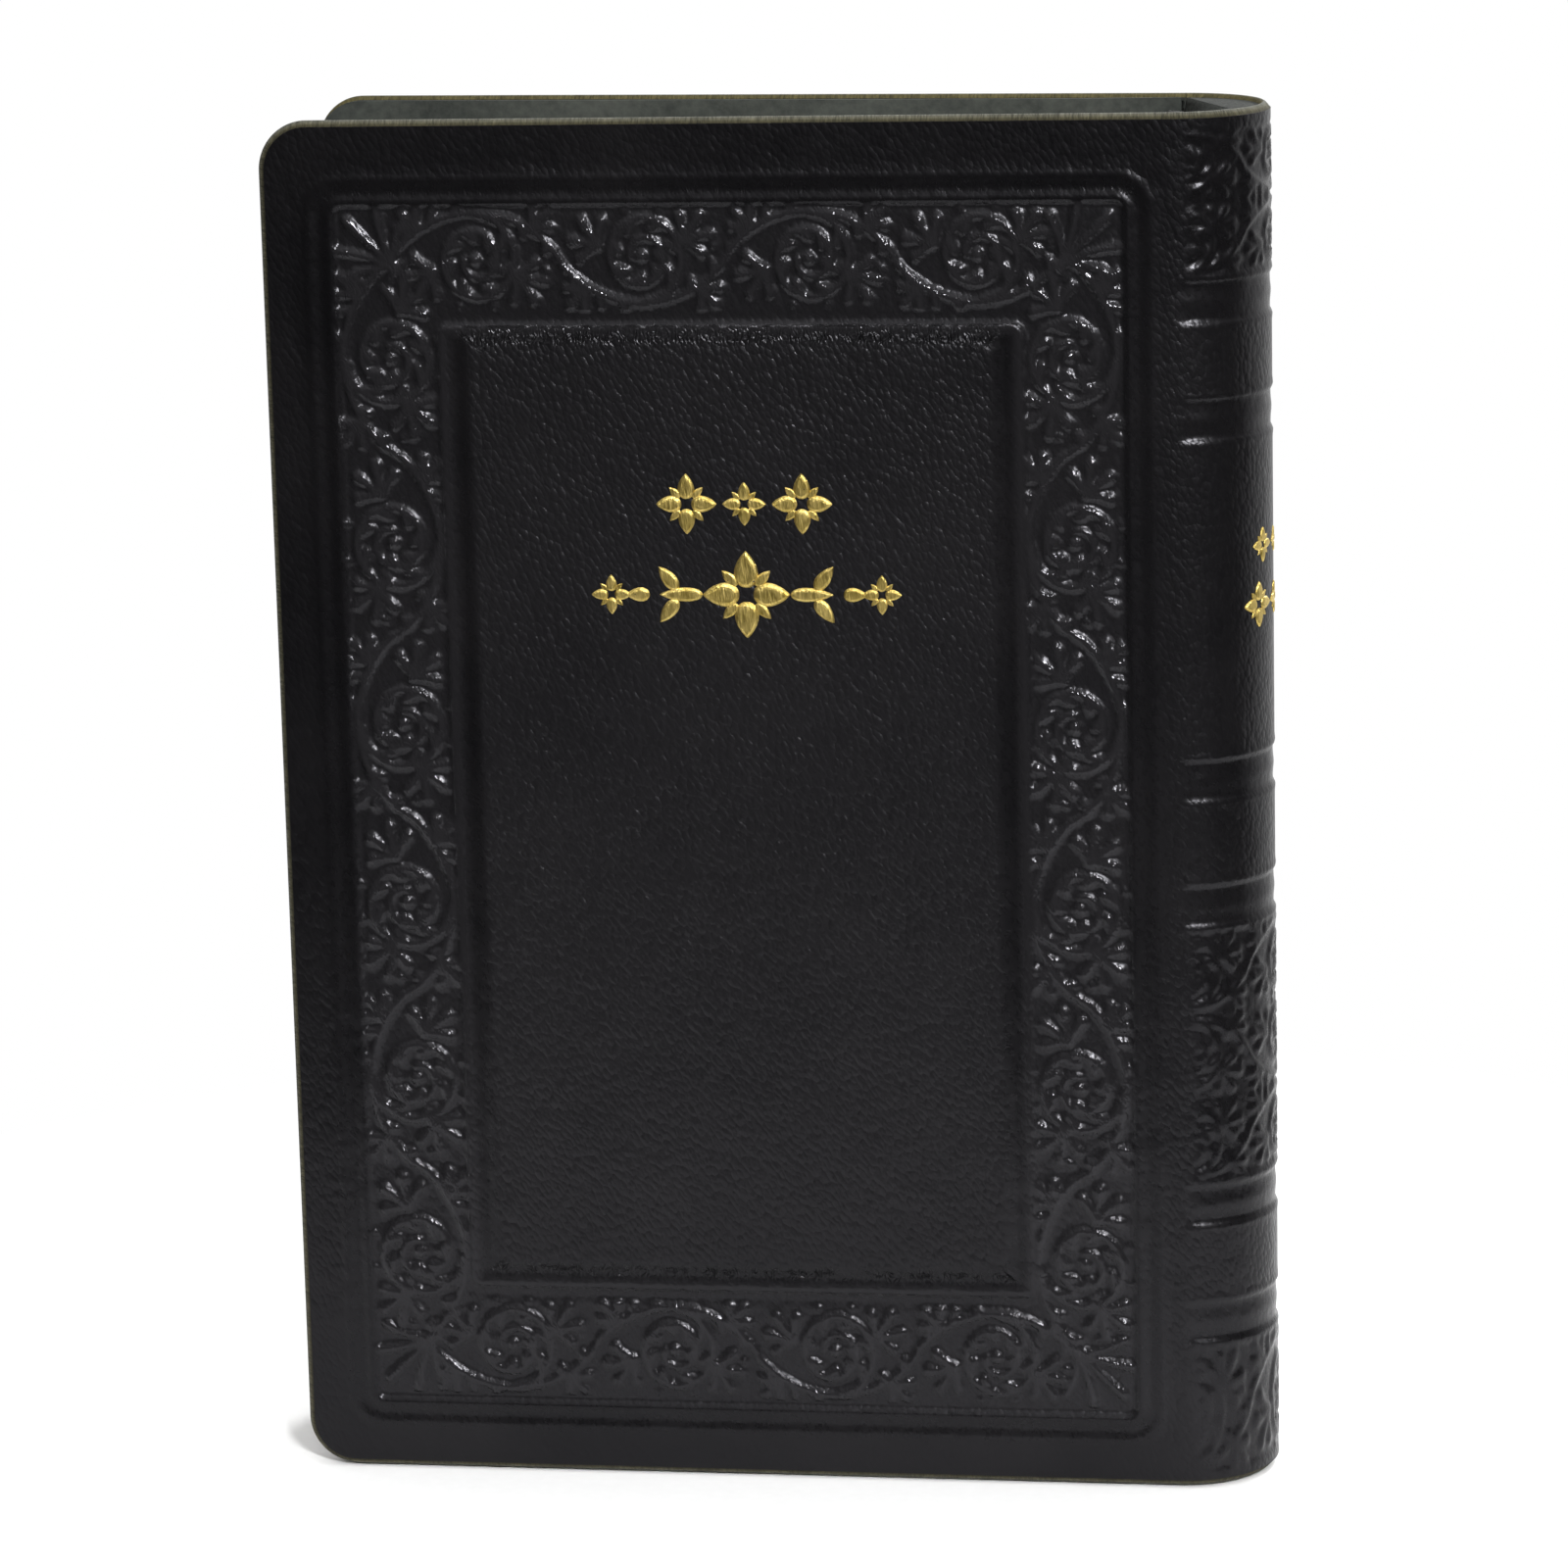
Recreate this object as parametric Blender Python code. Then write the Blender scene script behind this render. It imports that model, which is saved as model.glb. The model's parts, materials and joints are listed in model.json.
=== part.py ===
# Small soft-leather prayer book, standing on its tail with the covers slightly apart.
# Metres, +Z up. The front cover faces -Y and the rounded spine is at +X.
import bpy
import bmesh
import math

# driving dimensions
COVER_HEIGHT = 0.140            # head to tail
COVER_WIDTH = 0.090             # joint line to fore-edge
COVER_SPLAY_DEG = 1.8           # each cover, away from parallel, as the book stands
CORNER_RADIUS = 0.005           # fore-edge corners of the covers
LEATHER_THICKNESS = 0.0011
EDGE_CHAMFER = 0.0006           # worn outer rim of the cut leather
BOARD_THICKNESS = 0.0006        # flexible card inside each cover
LINING_THICKNESS = 0.0003       # paper lining inside each cover
BOARD_SETBACK = 0.009           # card and lining start this far from the joint line
BOARD_INSET = 0.0014            # card stops this far inside the leather's rim
LINING_INSET = 0.0004           # lining stops this far inside the leather's rim
SQUARE = 0.0032                 # cover's overhang past the pages at head, tail and fore-edge
SECTION_COUNT = 16              # even number of sewn sections
SECTION_THICKNESS = 0.00068
FLYLEAF_THICKNESS = 0.00025
PAGE_CORNER_RADIUS = 0.003
BACK_ROUND = 0.003              # height of the text block's rounded back
GUTTER_RADIUS = 0.0065          # fold axis to the place where a leaf swings free
MULL_THICKNESS = 0.00035
LINER_THICKNESS = 0.0005
BAND_RADIUS = 0.0008            # cloth bead at head and tail
SPINE_BAND_WIDTH = 0.004        # sunk bands across the spine
SPINE_BAND_DEPTH = 0.0005
SPINE_BAND_SHARES = (0.125, 0.213, 0.437, 0.529, 0.787, 0.870)  # centres, as shares of the height

# clearances
GLUE_GAP = 0.00015              # between layers that are glued flat
SECTION_GAP = 0.00012           # between sections when the book is shut
LEAF_GAP = 0.0003               # flyleaf to its neighbours
JOINT_GAP = 0.0003              # cover leather to spine leather along the joint line
HOLLOW_GAP = 0.0003             # between the layers of the back
FLYLEAF_SHARE = 0.75            # part of the cover's swing that a flyleaf follows

# mesh fineness
CORNER_STEPS = 8
SPINE_STEPS = 24
BACK_STEPS = 12
TUBE_SIDES = 10

# derived layout, seen from above
splay = math.radians(COVER_SPLAY_DEG)
half_count = SECTION_COUNT // 2
pitch = SECTION_THICKNESS + SECTION_GAP
half_text = half_count * pitch - SECTION_GAP / 2
flyleaf_y = half_text + LEAF_GAP + FLYLEAF_THICKNESS / 2
cover_inner_y = half_text + LEAF_GAP + FLYLEAF_THICKNESS + LEAF_GAP
board_depth = LEATHER_THICKNESS + GLUE_GAP
lining_depth = board_depth + BOARD_THICKNESS + GLUE_GAP
cover_thickness = lining_depth + LINING_THICKNESS
half_spine = cover_inner_y + cover_thickness
spine_radius = half_spine / math.cos(splay)
spine_bulge = spine_radius * (1.0 - math.sin(splay))
cover_reach = COVER_WIDTH * math.cos(splay) + LEATHER_THICKNESS * math.sin(splay)
joint_x = (cover_reach + spine_bulge) / 2 - spine_bulge
centre_x = joint_x - spine_radius * math.sin(splay)
fold_x = centre_x
page_bottom = SQUARE
page_top = COVER_HEIGHT - SQUARE
leaf_width = fold_x - (joint_x - COVER_WIDTH) - SQUARE
back_radius = (half_text ** 2 + BACK_ROUND ** 2) / (2 * BACK_ROUND)
back_centre_x = fold_x + BACK_ROUND - back_radius
gutter_edge = GUTTER_RADIUS * 0.42
gutter_middle = GUTTER_RADIUS * 0.86


def clear_scene():
    for old in list(bpy.data.objects):
        bpy.data.objects.remove(old, do_unlink=True)


def make_material(name, colour, roughness):
    material = bpy.data.materials.new(name)
    material.use_nodes = True
    shader = material.node_tree.nodes["Principled BSDF"]
    shader.inputs["Base Color"].default_value = (*colour, 1.0)
    shader.inputs["Roughness"].default_value = roughness
    return material


def add_object(name, mesh_build, material, parent=None):
    bmesh.ops.recalc_face_normals(mesh_build, faces=mesh_build.faces)
    mesh = bpy.data.meshes.new(name)
    mesh_build.to_mesh(mesh)
    mesh_build.free()
    mesh.materials.append(material)
    thing = bpy.data.objects.new(name, mesh)
    bpy.context.scene.collection.objects.link(thing)
    thing.parent = parent
    return thing


def add_hinge(name, x, y, angle):
    empty = bpy.data.objects.new(name, None)
    empty.empty_display_size = 0.01
    bpy.context.scene.collection.objects.link(empty)
    empty.location = (x, y, 0.0)
    empty.rotation_euler = (0.0, 0.0, angle)
    return empty


def panel_outline(reach, start, bottom, top, radius):
    # outline of a panel that runs from x = -start out to x = -reach, rounded at the far corners
    points = [(-start, bottom), (-start, top)]
    for step in range(CORNER_STEPS + 1):
        angle = math.pi / 2 * step / CORNER_STEPS
        points.append((-reach + radius - radius * math.sin(angle),
                       top - radius + radius * math.cos(angle)))
    for step in range(CORNER_STEPS + 1):
        angle = math.pi / 2 * step / CORNER_STEPS
        points.append((-reach + radius - radius * math.cos(angle),
                       bottom + radius - radius * math.sin(angle)))
    return points


def panel(outline, y_start, y_end, chamfer=0.0):
    # flat panel between two depths; the rim at y_start can be chamfered except at the joint end
    build = bmesh.new()
    near = [build.verts.new((x, y_start, z)) for x, z in outline]
    face = build.faces.new(near)
    grown = bmesh.ops.extrude_face_region(build, geom=[face], use_keep_orig=True)
    moved = [item for item in grown["geom"] if isinstance(item, bmesh.types.BMVert)]
    bmesh.ops.translate(build, verts=moved, vec=(0.0, y_end - y_start, 0.0))
    bmesh.ops.recalc_face_normals(build, faces=build.faces)
    if chamfer > 0.0:
        start_x = outline[0][0]
        rim = []
        for edge in build.edges:
            on_face = all(abs(vert.co.y - y_start) < 1e-7 for vert in edge.verts)
            at_joint = all(abs(vert.co.x - start_x) < 1e-7 for vert in edge.verts)
            if on_face and not at_joint:
                rim.append(edge)
        bmesh.ops.bevel(build, geom=rim, offset=chamfer, offset_type="OFFSET", affect="EDGES",
                        segments=2, profile=0.5, material=-1, clamp_overlap=True)
    return build


def strip_solid(outer, inner, bottom, top):
    # upright curved sheet between two plan curves with the same number of points
    build = bmesh.new()
    rows = []
    for curve in (outer, inner):
        low = [build.verts.new((x, y, bottom)) for x, y in curve]
        high = [build.verts.new((x, y, top)) for x, y in curve]
        rows.append((low, high))
    (out_low, out_high), (in_low, in_high) = rows
    for i in range(len(outer) - 1):
        j = i + 1
        build.faces.new((out_low[i], out_low[j], out_high[j], out_high[i]))
        build.faces.new((in_low[i], in_high[i], in_high[j], in_low[j]))
        build.faces.new((out_high[i], out_high[j], in_high[j], in_high[i]))
        build.faces.new((out_low[i], in_low[i], in_low[j], out_low[j]))
    for i in (0, len(outer) - 1):
        build.faces.new((out_low[i], out_high[i], in_high[i], in_low[i]))
    return build


def back_curve(offset, steps):
    # rounded back of the text block, moved outwards by an offset
    radius = back_radius + offset
    half_angle = math.asin(half_text / back_radius)
    points = []
    for step in range(steps + 1):
        angle = -half_angle + 2 * half_angle * step / steps
        points.append((back_centre_x + radius * math.cos(angle), radius * math.sin(angle)))
    return points


def back_height(y):
    # how far the rounded back stands out from the fold axis line at a place across the block
    return back_centre_x + math.sqrt(back_radius ** 2 - y ** 2) - fold_x


def spine_curve(radius, steps, trim):
    half_angle = math.pi / 2 - splay - trim / radius
    points = []
    for step in range(steps + 1):
        angle = -half_angle + 2 * half_angle * step / steps
        points.append((centre_x + radius * math.cos(angle), radius * math.sin(angle)))
    return points


def spine_profile():
    # radius and height of the spine leather: sunk bands, chamfered head and tail
    outer = spine_radius
    sunk = spine_radius - SPINE_BAND_DEPTH
    slope = SPINE_BAND_DEPTH
    half_band = SPINE_BAND_WIDTH / 2
    inset = EDGE_CHAMFER
    points = [(outer - inset, 0.0), (outer - inset * 0.29, inset * 0.29), (outer, inset)]
    for share in SPINE_BAND_SHARES:
        middle = share * COVER_HEIGHT
        points.append((outer, middle - half_band))
        points.append((sunk, middle - half_band + slope))
        points.append((sunk, middle + half_band - slope))
        points.append((outer, middle + half_band))
    points.append((outer, COVER_HEIGHT - inset))
    points.append((outer - inset * 0.29, COVER_HEIGHT - inset * 0.29))
    points.append((outer - inset, COVER_HEIGHT))
    return points


def spine_solid():
    build = bmesh.new()
    profile = spine_profile()
    inner = spine_radius - LEATHER_THICKNESS
    half_angle = math.pi / 2 - splay - JOINT_GAP / 2 / spine_radius
    columns = []
    for step in range(SPINE_STEPS + 1):
        angle = -half_angle + 2 * half_angle * step / SPINE_STEPS
        across = math.cos(angle)
        along = math.sin(angle)
        skin = [build.verts.new((centre_x + r * across, r * along, z)) for r, z in profile]
        lining = [build.verts.new((centre_x + inner * across, inner * along, z)) for r, z in profile]
        columns.append((skin, lining))
    last = len(profile) - 1
    for i in range(SPINE_STEPS):
        skin, lining = columns[i]
        next_skin, next_lining = columns[i + 1]
        for j in range(last):
            k = j + 1
            build.faces.new((skin[j], next_skin[j], next_skin[k], skin[k]))
            build.faces.new((lining[j], lining[k], next_lining[k], next_lining[j]))
        build.faces.new((skin[0], lining[0], next_lining[0], next_skin[0]))
        build.faces.new((skin[last], next_skin[last], next_lining[last], lining[last]))
    for i in (0, SPINE_STEPS):
        skin, lining = columns[i]
        for j in range(last):
            k = j + 1
            build.faces.new((skin[j], skin[k], lining[k], lining[j]))
    return build


def text_back_solid():
    # glued folds: rounded towards the spine, gently rounded towards the leaves
    outline = back_curve(0.0, BACK_STEPS)
    sagitta = gutter_middle - gutter_edge
    radius = (half_text ** 2 + sagitta ** 2) / (2 * sagitta)
    middle_x = fold_x - gutter_middle + radius
    half_angle = math.asin(half_text / radius)
    for step in range(BACK_STEPS + 1):
        angle = half_angle - 2 * half_angle * step / BACK_STEPS
        outline.append((middle_x - radius * math.cos(angle), radius * math.sin(angle)))
    build = bmesh.new()
    low = [build.verts.new((x, y, page_bottom)) for x, y in outline]
    face = build.faces.new(low)
    grown = bmesh.ops.extrude_face_region(build, geom=[face], use_keep_orig=True)
    moved = [item for item in grown["geom"] if isinstance(item, bmesh.types.BMVert)]
    bmesh.ops.translate(build, verts=moved, vec=(0.0, 0.0, page_top - page_bottom))
    return build


def bead_solid(height):
    # cloth bead that lies along the rounded back at one end of the text block
    path = back_curve(-BAND_RADIUS * 1.2, BACK_STEPS)
    build = bmesh.new()
    rings = []
    for i, (x, y) in enumerate(path):
        before = path[max(i - 1, 0)]
        after = path[min(i + 1, len(path) - 1)]
        run_x = after[0] - before[0]
        run_y = after[1] - before[1]
        length = math.hypot(run_x, run_y)
        side_x = run_y / length
        side_y = -run_x / length
        ring = []
        for side in range(TUBE_SIDES):
            angle = 2 * math.pi * side / TUBE_SIDES
            out = BAND_RADIUS * math.cos(angle)
            ring.append(build.verts.new((x + side_x * out, y + side_y * out,
                                         height + BAND_RADIUS * math.sin(angle))))
        rings.append(ring)
    for ring, following in zip(rings[:-1], rings[1:]):
        for i in range(TUBE_SIDES):
            j = (i + 1) % TUBE_SIDES
            build.faces.new((ring[i], ring[j], following[j], following[i]))
    build.faces.new(rings[0])
    build.faces.new(rings[-1])
    return build


def build_cover(side, name, leather, card, lining):
    # side is -1 for the front cover and +1 for the back cover
    hinge = add_hinge(name + "_hinge", joint_x, side * half_spine, -side * splay)
    outline = panel_outline(COVER_WIDTH, JOINT_GAP / 2, 0.0, COVER_HEIGHT, CORNER_RADIUS)
    skin = panel(outline, 0.0, -side * LEATHER_THICKNESS, EDGE_CHAMFER)
    add_object(name + "_cover_leather", skin, leather, hinge)
    outline = panel_outline(COVER_WIDTH - BOARD_INSET, BOARD_SETBACK, BOARD_INSET,
                            COVER_HEIGHT - BOARD_INSET, CORNER_RADIUS - BOARD_INSET)
    board = panel(outline, -side * board_depth, -side * (board_depth + BOARD_THICKNESS))
    add_object(name + "_cover_board", board, card, hinge)
    outline = panel_outline(COVER_WIDTH - LINING_INSET, BOARD_SETBACK, LINING_INSET,
                            COVER_HEIGHT - LINING_INSET, CORNER_RADIUS - LINING_INSET)
    paste = panel(outline, -side * lining_depth, -side * cover_thickness)
    add_object(name + "_pastedown", paste, lining, hinge)


def build_leaf(name, y, thickness, width, share, material):
    # flat group of leaves that turns about its fold, following a share of its cover's swing
    outline = panel_outline(width, GUTTER_RADIUS, page_bottom, page_top, PAGE_CORNER_RADIUS)
    build = panel(outline, -thickness / 2, thickness / 2)
    leaf = add_object(name, build, material)
    leaf.location = (fold_x, y, 0.0)
    side = 1.0 if y > 0.0 else -1.0
    leaf.rotation_euler = (0.0, 0.0, -side * splay * share)


clear_scene()
cover_leather = make_material("cover_leather", (0.010, 0.010, 0.011), 0.45)
spine_skin = make_material("spine_skin", (0.010, 0.010, 0.011), 0.45)
flexible_card = make_material("flexible_card", (0.42, 0.40, 0.36), 0.8)
lining_paper = make_material("lining_paper", (0.035, 0.040, 0.036), 0.7)
page_paper = make_material("page_paper", (0.80, 0.76, 0.66), 0.8)
fold_paper = make_material("fold_paper", (0.76, 0.71, 0.60), 0.8)
mull_cloth = make_material("mull_cloth", (0.70, 0.68, 0.60), 0.9)
liner_paper = make_material("liner_paper", (0.45, 0.36, 0.25), 0.8)
bead_cloth = make_material("bead_cloth", (0.55, 0.52, 0.46), 0.8)

add_object("spine_leather", spine_solid(), spine_skin)
liner_outer = spine_radius - LEATHER_THICKNESS - HOLLOW_GAP
liner_inner = liner_outer - LINER_THICKNESS
liner = strip_solid(spine_curve(liner_outer, SPINE_STEPS, JOINT_GAP),
                    spine_curve(liner_inner, SPINE_STEPS, JOINT_GAP), page_bottom, page_top)
add_object("spine_liner", liner, liner_paper)
add_object("text_block_back", text_back_solid(), fold_paper)
mull = strip_solid(back_curve(GLUE_GAP + MULL_THICKNESS, BACK_STEPS),
                   back_curve(GLUE_GAP, BACK_STEPS), page_bottom, page_top)
add_object("mull", mull, mull_cloth)
add_object("head_band", bead_solid(page_top + GLUE_GAP + BAND_RADIUS), bead_cloth)
add_object("tail_band", bead_solid(page_bottom - GLUE_GAP - BAND_RADIUS), bead_cloth)

build_cover(-1, "front", cover_leather, flexible_card, lining_paper)
build_cover(1, "back", cover_leather, flexible_card, lining_paper)

build_leaf("front_flyleaf", -flyleaf_y, FLYLEAF_THICKNESS, leaf_width, FLYLEAF_SHARE, lining_paper)
build_leaf("back_flyleaf", flyleaf_y, FLYLEAF_THICKNESS, leaf_width, FLYLEAF_SHARE, lining_paper)
for index in range(SECTION_COUNT):
    place = (index - (SECTION_COUNT - 1) / 2) * pitch
    rank = abs(place) / pitch + 0.5
    turn_share = FLYLEAF_SHARE * rank / (half_count + 1)
    build_leaf("section_%02d" % (index + 1), place, SECTION_THICKNESS,
               leaf_width - back_height(place), turn_share, page_paper)
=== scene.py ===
import json
from math import asin, atan2, copysign, cos, degrees, hypot, pi, radians, sin, sqrt
import bpy
import bmesh
import numpy as np
from mathutils import Matrix, Vector


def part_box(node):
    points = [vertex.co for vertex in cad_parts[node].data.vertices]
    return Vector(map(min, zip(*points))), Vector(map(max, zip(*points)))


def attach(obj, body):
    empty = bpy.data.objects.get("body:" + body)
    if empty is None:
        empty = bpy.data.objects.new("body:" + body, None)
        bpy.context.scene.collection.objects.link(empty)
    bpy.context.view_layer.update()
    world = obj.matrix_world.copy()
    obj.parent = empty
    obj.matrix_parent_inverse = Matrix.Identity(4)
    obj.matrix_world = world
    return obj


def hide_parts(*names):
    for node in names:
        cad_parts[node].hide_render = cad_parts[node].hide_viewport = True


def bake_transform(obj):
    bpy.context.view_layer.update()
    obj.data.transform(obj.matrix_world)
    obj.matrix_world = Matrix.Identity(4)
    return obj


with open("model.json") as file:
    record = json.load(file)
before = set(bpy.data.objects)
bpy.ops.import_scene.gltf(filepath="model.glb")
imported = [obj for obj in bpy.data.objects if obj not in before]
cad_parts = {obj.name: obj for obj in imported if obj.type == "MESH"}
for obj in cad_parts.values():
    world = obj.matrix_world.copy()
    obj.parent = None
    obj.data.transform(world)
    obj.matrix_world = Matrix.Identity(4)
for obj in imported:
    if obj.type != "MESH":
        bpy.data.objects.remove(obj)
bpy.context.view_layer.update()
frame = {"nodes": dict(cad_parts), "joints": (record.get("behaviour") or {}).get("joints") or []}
scene = bpy.context.scene
mm = 0.001
joints = {joint["name"]: joint for joint in frame["joints"]}
print("frame loaded:", len(frame["nodes"]), "nodes")

book = dict(
    height=140.0, coverWidth=90.0, cornerRadius=5.0, splay=radians(1.8),
    leather=1.1, square=3.2, spineRadius=9.495, spineCentreX=40.099, bendStrip=(0.0, 4.0),
    leafWidth=86.502, backRadius=8.199, backCentreX=34.899, gutter=6.5, pitch=0.8,
    foreEdge=(50.0, 90.0), headDrift=0.15, driftDown=0.65,  # the fore-edge is cut a little out of square
)  # millimetres, the same as the solids
jointX = joints["front_cover_hinge"]["pos_m"][0] / mm
halfSpine = -joints["front_cover_hinge"]["pos_m"][1] / mm
foldX = joints["section_01_turn"]["pos_m"][0] / mm
cosSplay, sinSplay = cos(book["splay"]), sin(book["splay"])
frontSide, backSide = -1, 1
sharpAngle = radians(40.0)  # paper edges steeper than this stay crisp


def smoothStep(low, high, value):
    t = np.clip((value - low) / (high - low), 0.0, 1.0)
    return t * t * (3.0 - 2.0 * t)


def bell(distance, width):
    return np.exp(-(distance / width) ** 2)


def coverPlace(side, u, v, w):  # u from the joint to the fore-edge, v up, w inwards from the grain side
    drift = book["headDrift"] + book["driftDown"] * (1.0 - v / book["height"])
    u = u + drift * smoothStep(*book["foreEdge"], u)
    x = jointX - u * cosSplay - w * sinSplay
    y = side * (halfSpine + u * sinSplay - w * cosSplay)
    return np.stack([x, y, v], axis=-1) * mm


def roundPlace(centreX, angle, z, reach):  # on a round back, turned about an upright line
    return np.stack([centreX + reach * np.cos(angle), reach * np.sin(angle), z], axis=-1) * mm


def spinePlace(arc, z, w):  # arc length from the middle of the spine, positive to the back cover
    radius = book["spineRadius"]
    return roundPlace(book["spineCentreX"], arc / radius, z, radius - w)


def backHeight(y):  # how far the rounded back stands behind the fold line
    return book["backCentreX"] + sqrt(book["backRadius"] ** 2 - y * y) - foldX


def nodeBox(node):
    low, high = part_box(node)
    return low / mm, high / mm


def bendAtJoint(piece):  # bakes the piece's placement into its points; nothing is bent here
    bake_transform(piece)


def layGrid(bm, columns, rows, height=0.0):  # a grid whose lines fall on these places
    made = bmesh.ops.create_grid(bm, x_segments=len(columns) - 1, y_segments=len(rows) - 1, size=0.5)
    for vert in made["verts"]:
        column = round((vert.co.x + 0.5) * (len(columns) - 1))
        row = round((vert.co.y + 0.5) * (len(rows) - 1))
        vert.co = (columns[column], rows[row], height)
    return made["verts"]


def joinRuns(*runs):  # grid lines from runs of first place, last place and count
    return np.concatenate([np.linspace(*run) for run in runs])


def foreEdgeCorners(edge, low, high, radius):  # centre of each arc and the way it faces
    return [(edge - radius, low + radius, 1, -1), (edge - radius, high - radius, 1, 1)]


def roundCorners(verts, corners):  # square corners of a grid to quarter discs
    for vert in verts:
        for centreX, centreY, towardsX, towardsY in corners:
            a, b = (vert.co.x - centreX) * towardsX, (vert.co.y - centreY) * towardsY
            if a > 0.0 and b > 0.0:
                shrink = max(a, b) / hypot(a, b)
                vert.co.x = centreX + a * shrink * towardsX
                vert.co.y = centreY + b * shrink * towardsY


def thickSheet(name, columns, rows, thickness, corners=()):  # a flat sheet and its points
    bm = bmesh.new()
    roundCorners(layGrid(bm, columns, rows), corners)
    bmesh.ops.solidify(bm, geom=bm.faces[:], thickness=thickness)
    mesh = meshFrom(bm, name)
    across, up, depth = meshCoords(mesh).T
    return mesh, across, up, depth - depth.min()


def meshCoords(mesh):
    coords = np.empty(len(mesh.vertices) * 3)
    mesh.vertices.foreach_get("co", coords)
    return coords.reshape(-1, 3)


def setCoords(mesh, coords):
    mesh.vertices.foreach_set("co", np.ascontiguousarray(coords, dtype=np.float32).ravel())
    mesh.update()


def setPointValue(mesh, name, values):
    layer = mesh.attributes.new(name, "FLOAT", "POINT")
    layer.data.foreach_set("value", np.ascontiguousarray(values, dtype=np.float32))


def meshFrom(bm, name, outward=True):
    if outward:
        bmesh.ops.recalc_face_normals(bm, faces=bm.faces)
    mesh = bpy.data.meshes.new(name)
    bm.to_mesh(mesh)
    bm.free()
    return mesh


def faceOutwards(mesh):
    bm = bmesh.new()
    bm.from_mesh(mesh)
    bmesh.ops.recalc_face_normals(bm, faces=bm.faces)
    bm.to_mesh(mesh)
    bm.free()


def addObject(name, data):
    item = bpy.data.objects.new(name, data)
    scene.collection.objects.link(item)
    return item


def makePiece(name, mesh, looks, smooth=True):
    for look in looks:
        mesh.materials.append(look)
    if smooth:
        mesh.shade_smooth()
    return addObject(name, mesh)


def newLook(name):
    look = bpy.data.materials.new(name)
    look.use_nodes = True
    tree = look.node_tree
    return look, tree, tree.nodes["Principled BSDF"]


def addNode(tree, kind, inputs=(), **settings):
    node = tree.nodes.new(kind)
    for key, value in settings.items():
        setattr(node, key, value)
    for socket, value in dict(inputs).items():
        if isinstance(value, bpy.types.NodeSocket):
            tree.links.new(value, node.inputs[socket])
        else:
            node.inputs[socket].default_value = value
    return node


def objectPoint(tree, turn=(0.0, 0.0, 0.0), stretch=(1.0, 1.0, 1.0)):
    spot = addNode(tree, "ShaderNodeTexCoord")
    turned = addNode(tree, "ShaderNodeMapping", {"Vector": spot.outputs["Object"], "Rotation": turn})
    return addNode(tree, "ShaderNodeMapping", {"Vector": turned.outputs[0], "Scale": stretch}).outputs[0]


def noise(point, scale, detail=3.0, rough=0.55):
    inputs = {"Vector": point, "Scale": scale, "Detail": detail, "Roughness": rough}
    return addNode(point.id_data, "ShaderNodeTexNoise", inputs).outputs["Fac"]


def cells(point, scale):
    inputs = {"Vector": point, "Scale": scale}
    return addNode(point.id_data, "ShaderNodeTexVoronoi", inputs).outputs["Distance"]


def spread(value, low, high, toLow, toHigh):
    inputs = {"Value": value, "From Min": low, "From Max": high, "To Min": toLow, "To Max": toHigh}
    return addNode(value.id_data, "ShaderNodeMapRange", inputs).outputs[0]


def fromNoise(value, toLow, toHigh):  # most of a noise lies between 0.3 and 0.7
    return spread(value, 0.3, 0.7, toLow, toHigh)


def combine(first, second, operation="ADD"):
    return addNode(first.id_data, "ShaderNodeMath", {0: first, 1: second}, operation=operation).outputs[0]


def times(first, second):
    return combine(first, second, "MULTIPLY")


def mixColour(amount, first, second):
    first, second = (end if isinstance(end, bpy.types.NodeSocket) else (*end, 1.0) for end in (first, second))
    inputs = {0: amount, 6: first, 7: second}
    return addNode(amount.id_data, "ShaderNodeMix", inputs, data_type="RGBA").outputs[2]


def pointValue(tree, name):
    return addNode(tree, "ShaderNodeAttribute", attribute_name=name).outputs["Fac"]


def bump(height, distance, under=None):
    inputs = {"Height": height, "Distance": distance, "Strength": 1.0}
    if under is not None:
        inputs["Normal"] = under
    return addNode(height.id_data, "ShaderNodeBump", inputs).outputs[0]


def finishLook(shader, colour, roughness, normal, specular=0.5):
    for socket, value in (("Base Color", colour), ("Roughness", roughness), ("Normal", normal)):
        shader.id_data.links.new(value, shader.inputs[socket])
    shader.inputs["Specular IOR Level"].default_value = specular


camera = dict(azimuth=10.5897, elevation=12.8372, roll=-1.4878, lens=129.628, sensor=36.0,
              clip=(0.01, 20.0), place=(0.10279, -0.55268, 0.19884))


def makeCamera():
    turn, rise, roll = (radians(camera[key]) for key in ("azimuth", "elevation", "roll"))
    back = Vector((sin(turn) * cos(rise), -cos(turn) * cos(rise), sin(rise)))
    level = Vector((cos(turn), sin(turn), 0.0))
    up = back.cross(level)
    right = level * cos(roll) + up * sin(roll)
    top = up * cos(roll) - level * sin(roll)
    data = bpy.data.cameras.new("studioCamera")
    data.lens, data.sensor_width = camera["lens"], camera["sensor"]
    data.clip_start, data.clip_end = camera["clip"]
    body = addObject("studioCamera", data)
    body.matrix_world = Matrix.Translation(camera["place"]) @ Matrix((right, top, back)).transposed().to_4x4()
    scene.camera = body


makeCamera()
print("camera set")


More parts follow.
